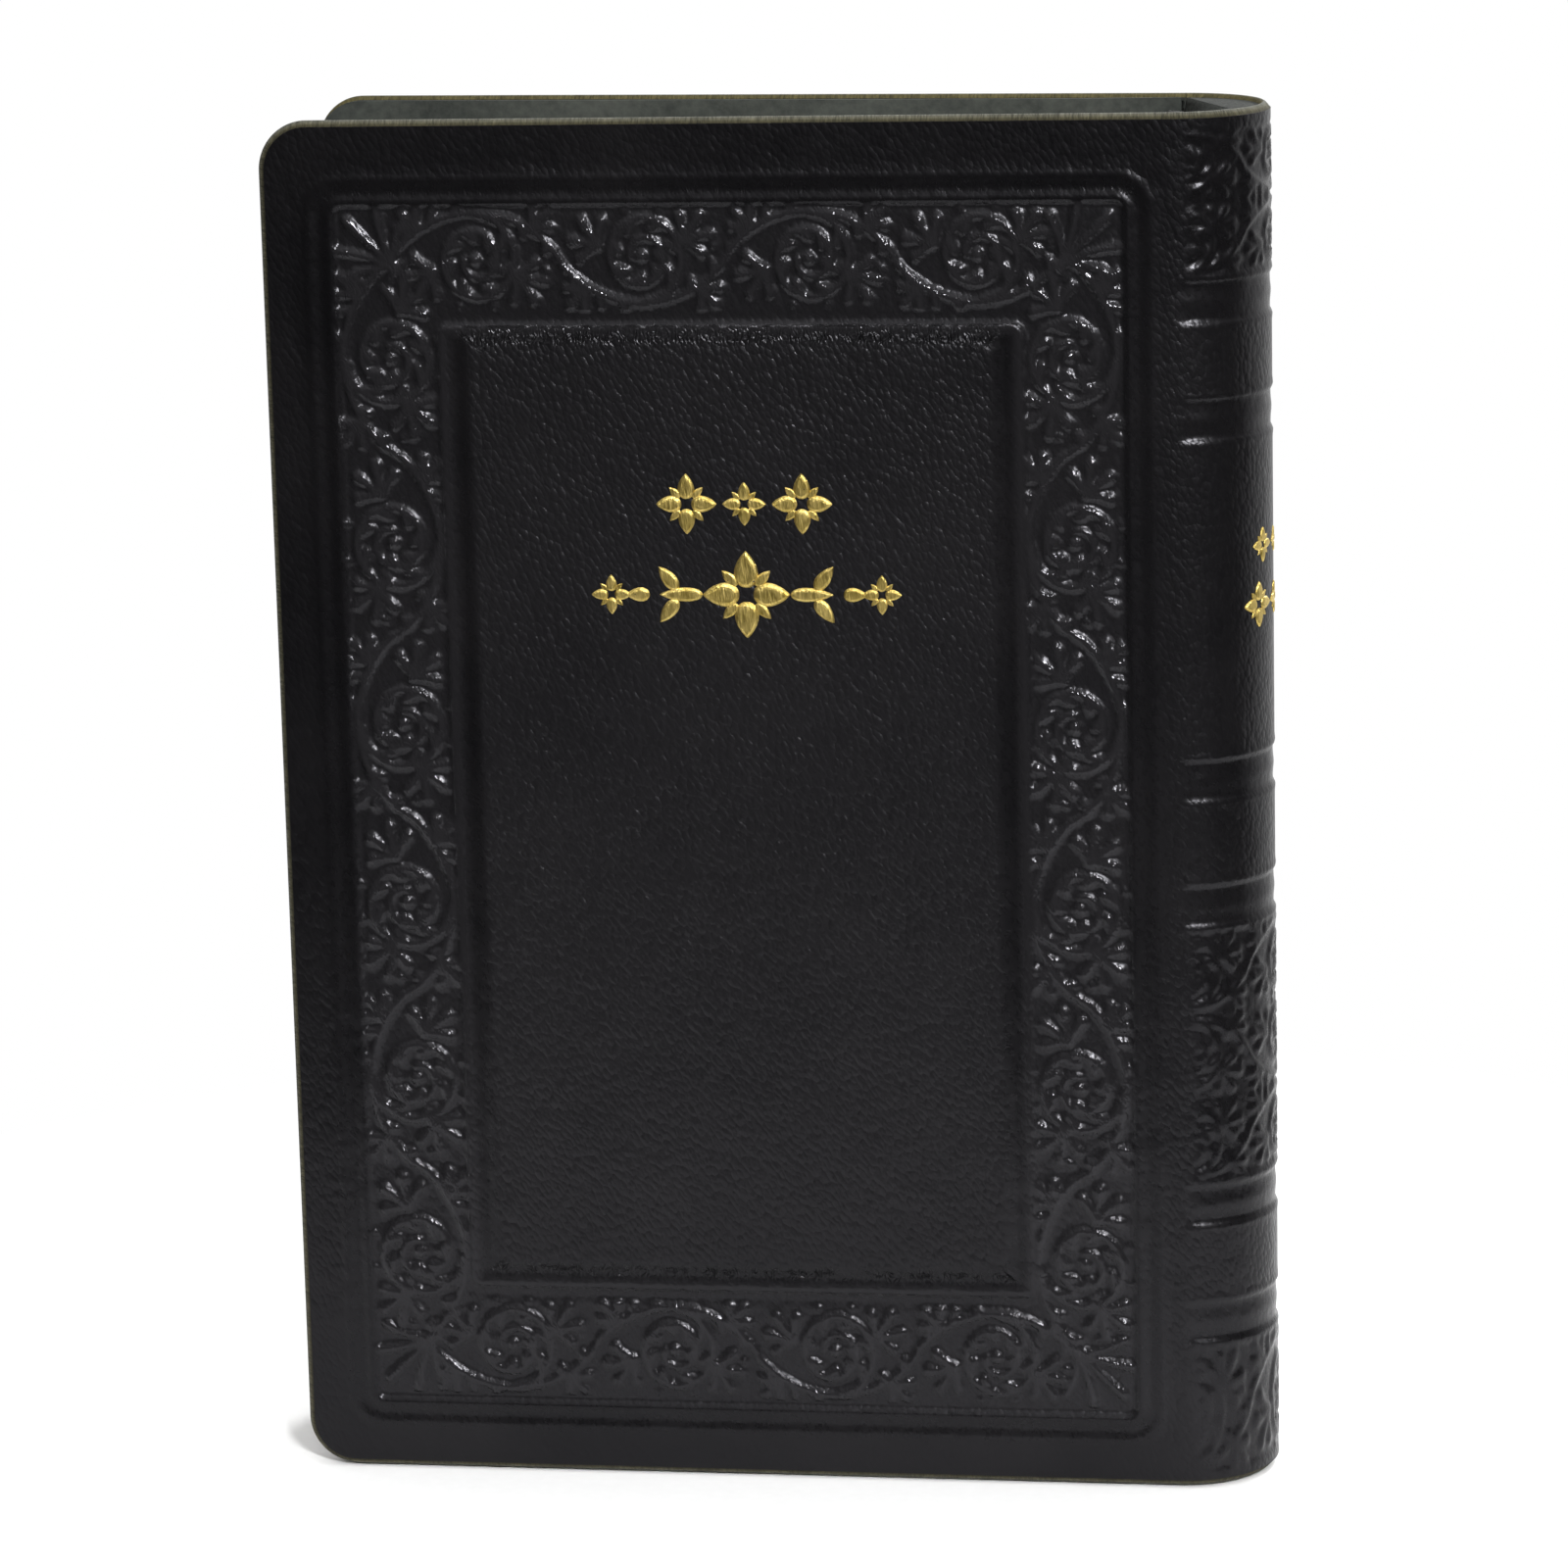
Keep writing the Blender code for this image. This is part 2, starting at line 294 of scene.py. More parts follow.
leatherLook = dict(
    # the third colour is a lighter leather tone: painted sheen on the tooled border and panel, painted light
    # in the sunken ground, real wear along the joints
    colour=(0.0034, 0.0032, 0.0036), worn=(0.0062, 0.0058, 0.0063), paintedSheenAndWear=(0.0165, 0.0159, 0.0173),
    grainLean=radians(27.0), grainWidth=0.42, grainLength=0.78, grainDepth=0.09,  # millimetres
    marginGrain=0.55, pressedGrain=0.40,  # shares of that depth on the plain margins and on pressed work
    poreScale=3800.0, creaseScale=240.0, creaseDepth=0.16, patchScale=60.0,
    hatchPitch=0.44, hatchDepth=0.10, strayScale=1100.0, stray=0.3, biteScale=800.0,
    roughness=0.32, pressedRoughness=0.28, polish=-0.19, streakGloss=(-0.04, 0.05),
    specular=0.215, tint=(0.94, 0.93, 1.0, 1.0),
)


def leatherGrain(plain, streaks, point):  # long pebbles, streaks between them and fine pores
    pebbles = cells(point, 0.9)
    domes = spread(times(pebbles, pebbles), 0.0, 0.7, 0.8, 0.0)
    pores = fromNoise(noise(plain, leatherLook["poreScale"], 2.0), 0.0, 0.12)
    return combine(combine(times(streaks, 0.6), domes), pores)


def leatherTicks(tree, plain):  # ticks cut by hand along the lines and the raised work
    stray = fromNoise(noise(plain, leatherLook["strayScale"], 1.0),
                      -leatherLook["stray"], leatherLook["stray"])
    run = combine(pointValue(tree, "run"), stray)
    wave = combine(times(run, 2.0 * pi / leatherLook["hatchPitch"]), 0.0, "SINE")
    bite = spread(noise(plain, leatherLook["biteScale"], 1.0), 0.35, 0.65, 0.2, 1.0)
    return times(wave, times(pointValue(tree, "hatch"), bite))


def makeLeather():
    look, tree, shader = newLook("blackLeather")
    pressed, paintedSheenAndWear = pointValue(tree, "press"), pointValue(tree, "sheenAndWear")
    wide, long = (1.0 / (leatherLook[key] * mm) for key in ("grainWidth", "grainLength"))
    point = objectPoint(tree, (0.0, leatherLook["grainLean"], 0.0), (wide, wide, long))
    plain = objectPoint(tree)
    streaks = noise(point, 0.8, 2.0, 0.6)
    full = leatherLook["grainDepth"] * mm
    depth = times(spread(paintedSheenAndWear, 0.0, 0.20, leatherLook["marginGrain"] * full, full),
                  spread(pressed, 0.0, 1.0, 1.0, leatherLook["pressedGrain"]))
    skin = bump(leatherGrain(plain, streaks, point), depth)
    creases = noise(plain, leatherLook["creaseScale"], 2.0)
    skin = bump(creases, leatherLook["creaseDepth"] * mm, skin)
    skin = bump(leatherTicks(tree, plain), leatherLook["hatchDepth"] * mm, skin)
    patch = spread(noise(plain, leatherLook["patchScale"], 3.0), 0.35, 0.7, 0.0, 1.0)
    dye = mixColour(patch, leatherLook["colour"], leatherLook["worn"])
    # lighter where the sheen-and-wear value is high: painted sheen and painted light on the tooling and
    # panel, real wear at the joints
    colour = mixColour(paintedSheenAndWear, dye, leatherLook["paintedSheenAndWear"])
    smooth = spread(pressed, 0.0, 1.0, leatherLook["roughness"], leatherLook["pressedRoughness"])
    polish = combine(smooth, spread(paintedSheenAndWear, 0.36, 0.7, 0.0, leatherLook["polish"]))
    gloss = combine(polish, fromNoise(streaks, *leatherLook["streakGloss"]))
    finishLook(shader, colour, gloss, skin, leatherLook["specular"])
    shader.inputs["Specular Tint"].default_value = leatherLook["tint"]
    return look


rawEdgeLook = dict(crest=(0.136, 0.136, 0.114), slope=(0.098, 0.084, 0.034), dark=(0.0072, 0.0072, 0.005),
                   strand=5.5, fibreScale=800.0, fibreDepth=0.12, tuftScale=500.0)  # strands to a millimetre


def makeRawEdge():
    look, tree, shader = newLook("cutLeatherEdge")
    along = times(pointValue(tree, "run"), rawEdgeLook["strand"])
    strands = addNode(tree, "ShaderNodeCombineXYZ", {0: along}).outputs[0]
    spot = objectPoint(tree, stretch=(rawEdgeLook["fibreScale"],) * 3)
    point = addNode(tree, "ShaderNodeVectorMath", {0: spot, 1: strands}, operation="ADD").outputs[0]
    fibre = noise(point, 1.0, 3.0, 0.65)
    tuft = noise(objectPoint(tree), rawEdgeLook["tuftScale"], 2.0)
    depth = pointValue(tree, "cut")
    crest = combine(spread(depth, 0.08, 0.5, 0.0, 1.0),
                    spread(depth, 0.62, 0.80, 1.0, 0.0), "MINIMUM")  # palest half way through
    bare = mixColour(crest, rawEdgeLook["slope"], rawEdgeLook["crest"])
    shade = combine(fromNoise(fibre, 0.25, 0.9), fromNoise(tuft, -0.1, 0.15))
    undyed = spread(depth, 0.03, 0.3, 0.15, 1.0)  # the dye soaks in from the grain side
    colour = mixColour(times(shade, undyed), rawEdgeLook["dark"], bare)
    skin = bump(fibre, rawEdgeLook["fibreDepth"] * mm)
    finishLook(shader, colour, fromNoise(fibre, 0.95, 0.78), skin, 0.2)
    return look


fleshLook = dict(light=(0.034, 0.037, 0.033), dark=(0.018, 0.019, 0.018), napScale=2200.0, napDepth=0.1)


def makeFlesh():
    look, tree, shader = newLook("leatherFleshSide")
    nap = noise(objectPoint(tree), fleshLook["napScale"], 4.0, 0.7)
    colour = mixColour(fromNoise(nap, 0.0, 1.0), fleshLook["dark"], fleshLook["light"])
    skin = bump(nap, fleshLook["napDepth"] * mm)
    finishLook(shader, colour, fromNoise(nap, 0.95, 0.85), skin, 0.15)
    return look


paperLook = dict(cloudScale=90.0, fibreShade=0.55, cloudShade=0.45, roughness=(0.85, 0.77), specular=0.25)


def makePaper(name, light, dark, fibreScale, depth, lay=(1.0, 1.0, 1.0)):  # depth in millimetres
    look, tree, shader = newLook(name)
    fibre = noise(objectPoint(tree, stretch=lay), fibreScale, 4.0, 0.6)
    cloud = noise(objectPoint(tree), paperLook["cloudScale"], 3.0)
    shade = combine(fromNoise(fibre, 0.0, paperLook["fibreShade"]),
                    fromNoise(cloud, 0.0, paperLook["cloudShade"]))
    finishLook(shader, mixColour(shade, dark, light), fromNoise(cloud, *paperLook["roughness"]),
               bump(fibre, depth * mm), paperLook["specular"])
    return look


foilLook = dict(bright=(0.84, 0.65, 0.22), deep=(0.42, 0.30, 0.065), bare=(0.02, 0.017, 0.012),
                brushLean=0.12, brushScale=6500.0, brushDepth=0.09, cloudScale=700.0, speckScale=2600.0,
                roughness=(0.31, 0.48))


def makeFoil():
    look, tree, shader = newLook("goldFoil")
    strokes = objectPoint(tree, (0.0, foilLook["brushLean"], 0.0), (1.0, 1.0, 0.12))
    brushed = noise(strokes, foilLook["brushScale"], 3.0, 0.6)
    plain = objectPoint(tree)
    cloud = noise(plain, foilLook["cloudScale"], 2.0)
    speck = noise(plain, foilLook["speckScale"], 3.0, 0.6)
    shade = spread(combine(brushed, cloud), 0.7, 1.3, 0.0, 1.0)
    gold = mixColour(shade, foilLook["deep"], foilLook["bright"])
    colour = mixColour(spread(speck, 0.67, 0.73, 0.0, 1.0), gold, foilLook["bare"])  # rubbed-off specks
    tree.links.new(spread(speck, 0.66, 0.74, 1.0, 0.1), shader.inputs["Metallic"])
    finishLook(shader, colour, fromNoise(brushed, *foilLook["roughness"]),
               bump(brushed, foilLook["brushDepth"] * mm))
    return look


weaveLook = dict(threads=0.314, wander=0.6, threadDepth=0.12, fluffScale=5000.0)  # one wave to a thread


def makeWeave(name, light, dark, pitch):
    look, tree, shader = newLook(name)
    plain = objectPoint(tree)
    scale = weaveLook["threads"] / pitch
    thread = {"Vector": plain, "Scale": scale, "Distortion": weaveLook["wander"], "Detail": 1.0}
    waves = [addNode(tree, "ShaderNodeTexWave", thread, bands_direction=way).outputs["Fac"] for way in "YZ"]
    weave = combine(*waves, "MAXIMUM")
    fluff = noise(plain, weaveLook["fluffScale"], 2.0)
    shade = combine(spread(weave, 0.4, 1.0, 0.0, 0.7), fromNoise(fluff, 0.0, 0.3))
    finishLook(shader, mixColour(shade, dark, light), fromNoise(fluff, 0.92, 0.8),
               bump(weave, weaveLook["threadDepth"] * mm), 0.2)
    return look


blackLeather = makeLeather()
cutEdge = makeRawEdge()
fleshSide = makeFlesh()
goldFoil = makeFoil()
liningPaper = makePaper("darkLiningPaper", (0.053, 0.059, 0.052), (0.017, 0.0195, 0.018), 1100.0, 0.05)
pagePaper = makePaper("pagePaper", (0.80, 0.76, 0.67), (0.69, 0.64, 0.54), 3000.0, 0.02)
shadedCutPaper = makePaper("shadedCutPaper", (0.72, 0.675, 0.585), (0.52, 0.475, 0.39), 7000.0, 0.02,
                     lay=(0.01, 1.0, 0.01))  # sheet edges side by side, darker than the page: painted shade in the gaps between the leaves
foldPaper = makePaper("gluedFoldPaper", (0.74, 0.68, 0.56), (0.55, 0.48, 0.36), 1500.0, 0.06)
kraftPaper = makePaper("kraftLiner", (0.45, 0.35, 0.23), (0.33, 0.25, 0.16), 1600.0, 0.05)
greyCard = makePaper("greyCard", (0.44, 0.42, 0.38), (0.33, 0.31, 0.28), 1200.0, 0.06)
mullCloth = makeWeave("mullNet", (0.74, 0.71, 0.63), (0.30, 0.27, 0.21), 0.0009)
beadCloth = makeWeave("beadCloth", (0.055, 0.055, 0.052), (0.012, 0.012, 0.012), 0.0011)
print("looks made")


scroll = dict(
    length=17.6, halfWidth=5.2, step=0.06, soften=0.15, overlap=4.5, rise=0.46,
    stemHeight=4.55, stemWidth=0.52, stemRound=0.7, middleT=-0.15, heart=0.72,
    ringRadius=4.4, curlEnd=1.15, curlTurns=1.75, curlStart=radians(85.0),
    lobeWidth=0.58, lobeTaper=0.35, curlLobes=(0.06, 0.68, 9, -46.0, 1.9),  # from, to, count, lean and reach
    stemLobes=((0.08, 0.36, 3, 44.0, 1.7), (0.62, 0.92, 3, -44.0, 1.7)),
    fanWidth=0.72, fans=(  # root, headings and reach
        ((14.5, 2.8), (8.0, 42.0, 76.0), 2.7), ((3.1, 2.8), (172.0, 138.0, 104.0), 2.7),
        ((4.6, -1.0), (160.0, 195.0, 230.0, 265.0), 3.5), ((12.8, -1.5), (20.0, -15.0, -50.0, -85.0), 3.5),
    ),
    berries=(((1.5, -1.4), 0.45), ((16.3, -1.2), 0.45), ((7.0, -4.7), 0.4), ((10.6, -4.7), 0.4)),
)  # one length of the tooled scroll, in millimetres along and across the border
cornerLeaf = dict(  # as the scroll's, with widths and shares of its rise
    fans=(((4.3, -0.9), (-8.0, 18.5, 45.0, 71.5, 98.0), 6.7, 0.6, 1.0),
          ((3.9, -1.3), (-35.0, 125.0), 2.6, 0.5, 0.85)),
    heart=((4.2, -1.0), 0.95, 1.1),
)


def bezier(controls, count=70):
    points = [np.array(control, float)[None, :] for control in controls]
    share = np.linspace(0.0, 1.0, count)[:, None]
    while len(points) > 1:
        points = [first * (1.0 - share) + second * share for first, second in zip(points, points[1:])]
    return points[0]


def spiral(centre, startAngle, turns, startRadius, endRadius, count=170):
    share = np.linspace(0.0, 1.0, count)
    angle = startAngle - share * turns * 2.0 * pi
    radius = startRadius + (endRadius - startRadius) * share ** 1.3
    return np.stack([centre[0] + radius * np.cos(angle), centre[1] + radius * np.sin(angle)], axis=1)


def newTile(length):
    step, half = scroll["step"], scroll["halfWidth"]
    along, across = np.arange(0.0, length + step, step), np.arange(-half, half + step, step)
    s, t = np.meshgrid(along, across, indexing="ij")
    return dict(s=s, t=t, height=np.zeros_like(s))


def nearPath(tile, path, reach):  # distance to a path and the share along it, near the path only
    s, t = tile["s"], tile["t"]
    near = ((s > path[:, 0].min() - reach) & (s < path[:, 0].max() + reach)
            & (t > path[:, 1].min() - reach) & (t < path[:, 1].max() + reach))
    spots = np.stack([s[near], t[near]], axis=1)
    gaps = ((spots[:, None, :] - path[None, :, :]) ** 2).sum(axis=2)
    nearest = gaps.argmin(axis=1)
    return near, np.sqrt(gaps[np.arange(len(spots)), nearest]), nearest / (len(path) - 1.0)


def layStem(tile, path, startWidth, endWidth, share):  # share of the scroll's full rise
    near, gap, along = nearPath(tile, path, max(startWidth, endWidth))
    width = startWidth + (endWidth - startWidth) * along
    body = np.clip(1.0 - (gap / width) ** 2, 0.0, 1.0) ** 0.8
    tile["height"][near] = np.maximum(tile["height"][near], scroll["rise"] * share * body)


def layFan(tile, root, headings, length, width, share):  # an acanthus leaf: rounded lobes from one root
    middle = sum(headings) / len(headings)
    root = np.array(root, float)
    for heading in headings:
        away = heading - middle
        first, last = radians(heading - 0.3 * away), radians(heading + 0.5 * away)
        reach = 0.5 * length * cos(radians(0.7 * away))
        bend = root + reach * np.array([cos(first), sin(first)])
        tip = bend + reach * np.array([cos(last), sin(last)])
        layStem(tile, bezier([root, bend, tip], 24), 0.45 * width, width, share)


def layBead(tile, centre, radius, share):
    gap = np.hypot(tile["s"] - centre[0], tile["t"] - centre[1]) / radius
    dome = scroll["rise"] * share * np.sqrt(np.clip(1.0 - gap ** 2, 0.0, 1.0))
    tile["height"] = np.maximum(tile["height"], dome)


def softenTile(tile):
    reach, step = scroll["soften"], scroll["step"]
    size = int(round(3.0 * reach / step))
    kernel = np.exp(-0.5 * (np.arange(-size, size + 1) * step / reach) ** 2)
    kernel /= kernel.sum()
    for axis in (0, 1):
        padded = np.pad(tile["height"], [(size, size) if i == axis else (0, 0) for i in (0, 1)], mode="edge")
        tile["height"] = np.apply_along_axis(np.convolve, axis, padded, kernel, mode="valid")


def scrollTile():
    length, stem = scroll["length"], scroll["stemWidth"]
    tile = newTile(length)
    middle = np.array((length * 0.5, scroll["middleT"]))
    share = np.linspace(0.0, 1.0, 220)
    swing = np.sin(pi * share) ** scroll["stemRound"]
    wave = np.stack([share * length, scroll["stemHeight"] * swing], axis=1)
    curl = spiral(middle, scroll["curlStart"], scroll["curlTurns"], scroll["ringRadius"], scroll["curlEnd"])
    layStem(tile, wave, stem, stem, 0.95)
    layStem(tile, curl, stem, stem * 0.75, 0.95)
    layBead(tile, middle, scroll["heart"], 1.1)
    lobeRows = [(curl, scroll["curlLobes"])] + [(wave, lobes) for lobes in scroll["stemLobes"]]
    for path, (first, last, count, lean, reach) in lobeRows:  # short leaf lobes along the curl and the stem
        for spot in np.linspace(first, last, count):
            root = int(spot * (len(path) - 1))
            run = path[root + 2] - path[root - 2]
            heading = degrees(atan2(run[1], run[0])) + lean
            taper = 1.0 - scroll["lobeTaper"] * spot
            layFan(tile, path[root], (heading,), reach * taper, scroll["lobeWidth"], 0.95)
    for root, headings, reach in scroll["fans"]:
        layFan(tile, root, headings, reach, scroll["fanWidth"], 0.92)
    for centre, radius in scroll["berries"]:
        layBead(tile, centre, radius, 0.85)
    softenTile(tile)
    return tile


def cornerTile():  # s and t run from the inner corner of the border to the outer one
    tile = newTile(2.0 * scroll["halfWidth"])
    for fan in cornerLeaf["fans"]:
        layFan(tile, *fan)
    layBead(tile, *cornerLeaf["heart"])
    softenTile(tile)
    return tile


def sampleTile(tile, s, t):  # heights between the tile's own points
    h = tile["height"]
    rows, columns = h.shape
    x = np.clip(s / scroll["step"], 0.0, rows - 1.001)
    y = np.clip((t + scroll["halfWidth"]) / scroll["step"], 0.0, columns - 1.001)
    i, j = x.astype(int), y.astype(int)
    a, b = x - i, y - j
    near = h[i, j] * (1 - a) + h[i + 1, j] * a
    far = h[i, j + 1] * (1 - a) + h[i + 1, j + 1] * a
    return near * (1 - b) + far * b


scrollHeights = scrollTile()
cornerHeights = cornerTile()
print("ornament heights made")


def runningScroll(s, t, length, count):  # the scroll repeated along a band, every other one turned over
    place = np.clip(s / length, 0.0, 1.0 - 1e-6) * count
    turn = np.floor(place)
    flip = np.where(turn % 2 == 0, 1.0, -1.0)
    return sampleTile(scrollHeights, (place - turn) * scroll["length"], t * flip)


def boxSides(u, v, box):  # how far a point is past the upright and the level sides
    du = np.abs(u - 0.5 * (box[0] + box[1])) - 0.5 * (box[1] - box[0])
    dv = np.abs(v - 0.5 * (box[2] + box[3])) - 0.5 * (box[3] - box[2])
    return du, dv


def boxDistance(u, v, box):  # signed distance to a rounded rectangle, negative inside
    radius = box[4]
    du, dv = (past + radius for past in boxSides(u, v, box))
    outside = np.hypot(np.maximum(du, 0.0), np.maximum(dv, 0.0))
    return outside + np.minimum(np.maximum(du, dv), 0.0) - radius


def uprightSide(u, v, box):  # true where the nearest side of the box stands upright
    du, dv = boxSides(u, v, box)
    return du > dv


border = dict(
    outer=(1.65, 85.15, 4.78, 134.05, 3.4), inner=(14.65, 72.03, 20.28, 119.08, 0.6),  # and corner radius
    panel=(16.85, 69.92, 22.07, 118.33, 0.4), middle=(9.5, 77.45, 13.38, 126.19),
    groundOuter=(-2.4, -2.9), groundInner=(0.3, 0.75), ground=-0.3, padding=0.32,
    lineGap=2.2, ridge=0.15, groove=-0.07, tick=0.8625, tickDepth=0.03, topCount=4, sideCount=6,
    lineHatch=0.12, sideHatch=0.03, leafHatch=0.16, leafLean=radians(16.0),
    # shares of the lighter tone: painted sheen on the panel and raised work, painted light lifting the shaded
    # sunken ground
    panelPaintedSheen=0.24, groundPaintedLight=0.34, raisedPaintedSheen=0.9,
)
jointWear = dict(amount=0.10, cover=(7.0, 1.0), spine=(9.0, 13.0), top=(134.0, 116.0))


def jointRub(fromTo, across, upwards):  # the leather is rubbed where it bends
    return jointWear["amount"] * smoothStep(*fromTo, across) * smoothStep(*jointWear["top"], upwards)


def coverOrnament(u, v):  # scrolls along the four sides of the border and a leaf in each corner
    half, overlap = scroll["halfWidth"], scroll["overlap"]
    lowU, highU, lowV, highV = border["middle"]
    cornerU, cornerV = (past + half for past in boxSides(u, v, border["middle"]))  # into a corner square
    ornament = np.zeros_like(u)
    for along, across, cornerAlong, cornerAcross, low, high, middles, count in (
        (u, v, cornerU, cornerV, lowU, highU, (lowV, highV), border["topCount"]),
        (v, u, cornerV, cornerU, lowV, highV, (lowU, highU), border["sideCount"]),
    ):
        length = high - low - 2.0 * (half - overlap)
        for middle, sign in zip(middles, (-1.0, 1.0)):
            band = (np.abs(across - middle) <= half) & (cornerAlong < overlap) & (cornerAcross > cornerAlong)
            start = high - half + overlap
            s, t = (start - along)[band], (sign * (across - middle))[band]
            ornament[band] = runningScroll(s, t, length, count)
    spot = (cornerU > 0.0) & (cornerV > 0.0) & (cornerU < 2.0 * half) & (cornerV < 2.0 * half)
    figure = sampleTile(cornerHeights, cornerU[spot], cornerV[spot] - half)
    ornament[spot] = np.maximum(ornament[spot], figure)
    return ornament


def coverRelief(u, v):  # height, how pressed, how ticked, the way along a tick line, and how much lighter the tone is: painted sheen and light on the tooling, real wear at the joint
    outer, inner, panel = (boxDistance(u, v, border[line]) for line in ("outer", "inner", "panel"))
    ground = smoothStep(*border["groundOuter"], outer) * smoothStep(*border["groundInner"], inner)
    height = border["ground"] * ground
    second = outer + border["lineGap"]
    for distance, width, share in ((outer, 0.42, 0.8), (second, 0.4, 1.0), (inner, 0.6, 0.8)):  # raised lines
        sides = bell(distance - 2.2 * width, 0.8 * width) + bell(distance + 2.2 * width, 0.8 * width)
        height += share * (border["ridge"] * bell(distance, width) + border["groove"] * sides)
    upright = np.where(outer > border["groundOuter"][0],
                       uprightSide(u, v, border["outer"]), uprightSide(u, v, border["panel"]))
    along = np.where(upright, v, u)
    ticks = 0.5 + 0.5 * np.cos(2.0 * pi * along / border["tick"])
    between = outer + 0.5 * border["lineGap"]
    height -= border["tickDepth"] * bell(between, 0.34) * (0.4 + 0.6 * ticks)
    hatch = border["lineHatch"] * bell(between, 0.42) + bell(panel - 0.1, 0.55)
    hatch = hatch * np.where(upright, border["sideHatch"], 1.0)
    height += border["padding"] * smoothStep(0.7, -0.8, panel)  # the padded middle stands a little higher
    press = smoothStep(0.8, 0.2, outer) * smoothStep(-0.9, -0.2, panel)
    ornament = coverOrnament(u, v) * ground
    height += ornament
    raised = np.clip(np.maximum(ornament / scroll["rise"], 0.6 * bell(inner, 0.7)), 0.0, 1.0)
    slanted = u * cos(border["leafLean"]) - v * sin(border["leafLean"])
    along = np.where(ground > 0.01, slanted, along)
    hatch = np.maximum(hatch, border["leafHatch"] * raised * smoothStep(0.01, 0.3, ground))  # fine veins
    # painted sheen on the panel, and painted light lifting the shaded sunken ground
    sheenAndWear = np.maximum(border["panelPaintedSheen"] * smoothStep(0.3, -1.2, panel), border["groundPaintedLight"] * ground)
    sheenAndWear = np.maximum(sheenAndWear, border["raisedPaintedSheen"] * raised)  # painted sheen: the raised work is lighter still
    return height, press, hatch, along, np.maximum(sheenAndWear, jointRub(jointWear["cover"], u, v))


spineWork = dict(
    bands=(17.5, 29.8, 60.95, 73.7, 109.85, 121.45), bandEnd=(14.3, 12.4), sink=-0.2, lip=0.06, cord=0.10,
    panels=((1.3, 15.0), (32.2, 58.55), (123.85, 138.45)), reach=13.2, sideFade=1.2, endFade=0.8,
    scale=0.75, rise=0.6, rowHeight=12.5,
)


def spineRelief(arc, z):
    length, reach, endFade = scroll["length"], spineWork["reach"], spineWork["endFade"]
    height, press = np.zeros_like(arc), np.zeros_like(arc)
    fade = smoothStep(*spineWork["bandEnd"], np.abs(arc))
    for middle in spineWork["bands"]:
        gap = np.abs(z - middle)
        sunk = spineWork["sink"] * smoothStep(2.25, 1.7, gap) + spineWork["lip"] * bell(gap - 2.35, 0.4)
        height += fade * (sunk + spineWork["cord"] * bell(gap, 0.8))
        press = np.maximum(press, fade * smoothStep(2.6, 2.0, gap))
    shifted = arc / spineWork["scale"] + 0.5 * length
    turn = np.floor(shifted / length)
    sides = smoothStep(reach, reach - spineWork["sideFade"], np.abs(arc))
    for low, high in spineWork["panels"]:
        rows = max(1, int(round((high - low) / (spineWork["rowHeight"] * spineWork["scale"]))))
        place = np.clip((z - low) / (high - low), 0.0, 1.0 - 1e-6) * rows
        row = np.floor(place)
        flip = np.where((row + turn) % 2 == 0, 1.0, -1.0)
        across = ((place - row) * 2.0 - 1.0) * scroll["halfWidth"] * flip
        figure = sampleTile(scrollHeights, shifted - turn * length, across)
        inside = (z > low) & (z < high) & (np.abs(arc) < reach)
        ends = smoothStep(0.0, endFade, z - low) * smoothStep(0.0, endFade, high - z)
        shown = np.where(inside, ends * sides, 0.0)
        height += (figure + border["ground"]) * spineWork["rise"] * shown
        press = np.maximum(press, shown)
    return height, press, np.zeros_like(arc), arc, jointRub(jointWear["spine"], np.abs(arc), z)


gilding = dict(
    walls=((0.14, 0.15), (0.24, 0.12), (0.24, 0.03)),  # inset and rise of each step in from a petal's rim
    fullWidth=2.1, foil=0.06, dent=0.05, lift=0.02, segments=28,
    petals=((0.0, 0.29, 0.42, 0.27), (0.5, 0.27, 0.24, 0.12)),  # start in quarter turns, reach, length, width
    spray=((0.0, 0.0, 0.0, 0.62), (0.18, 0.24, 0.9, 0.42), (0.18, -0.24, -0.9, 0.42), (0.62, 0.0, 0.0, 0.34)),
    sprayWidth=0.2, lesser=0.72, coverMiddle=42.18, coverArea=(16.2, 87.4, 105.4),
    coverRow=(101.7, 6.1, 3, 5.8),  # height, size, count and pitch
    spineRows=((96.65, 3.5, 3, 3.6), (90.75, 4.6, 3, 4.4)),
    coverLine=92.55, heart=8.8, sprayAway=6.6, spraySize=7.0, endAway=13.6, endSize=4.0,
)


def fleuronPetals(centre, size):  # four petals and four small leaves: place, turn, length, width
    petals = []
    for start, reach, length, width in gilding["petals"]:
        for step in range(4):
            turn = (step + start) * pi * 0.5
            place = (centre[0] + reach * size * cos(turn), centre[1] + reach * size * sin(turn))
            petals.append((place, turn, length * size, width * size))
    return petals


def sprayPetals(centre, size, side):  # a short stem of leaves leaning away from the middle
    petals = []
    for away, up, lean, length in gilding["spray"]:
        turn = lean if side > 0 else pi - lean
        place = (centre[0] + side * away * size, centre[1] + up * size)
        petals.append((place, turn, length * size, gilding["sprayWidth"] * size))
    return petals


def rowPetals(middle, height, size, count, pitch):
    petals = []
    for step in range(count):
        centre = (middle + (step - 0.5 * (count - 1)) * pitch, height)
        petals += fleuronPetals(centre, size if step % 2 == 0 else size * gilding["lesser"])
    return petals


def coverPattern():
    middle, line = gilding["coverMiddle"], gilding["coverLine"]
    petals = rowPetals(middle, *gilding["coverRow"]) + fleuronPetals((middle, line), gilding["heart"])
    for side in (-1.0, 1.0):
        petals += sprayPetals((middle + side * gilding["sprayAway"], line), gilding["spraySize"], side)
        petals += fleuronPetals((middle + side * gilding["endAway"], line), gilding["endSize"])
    return petals


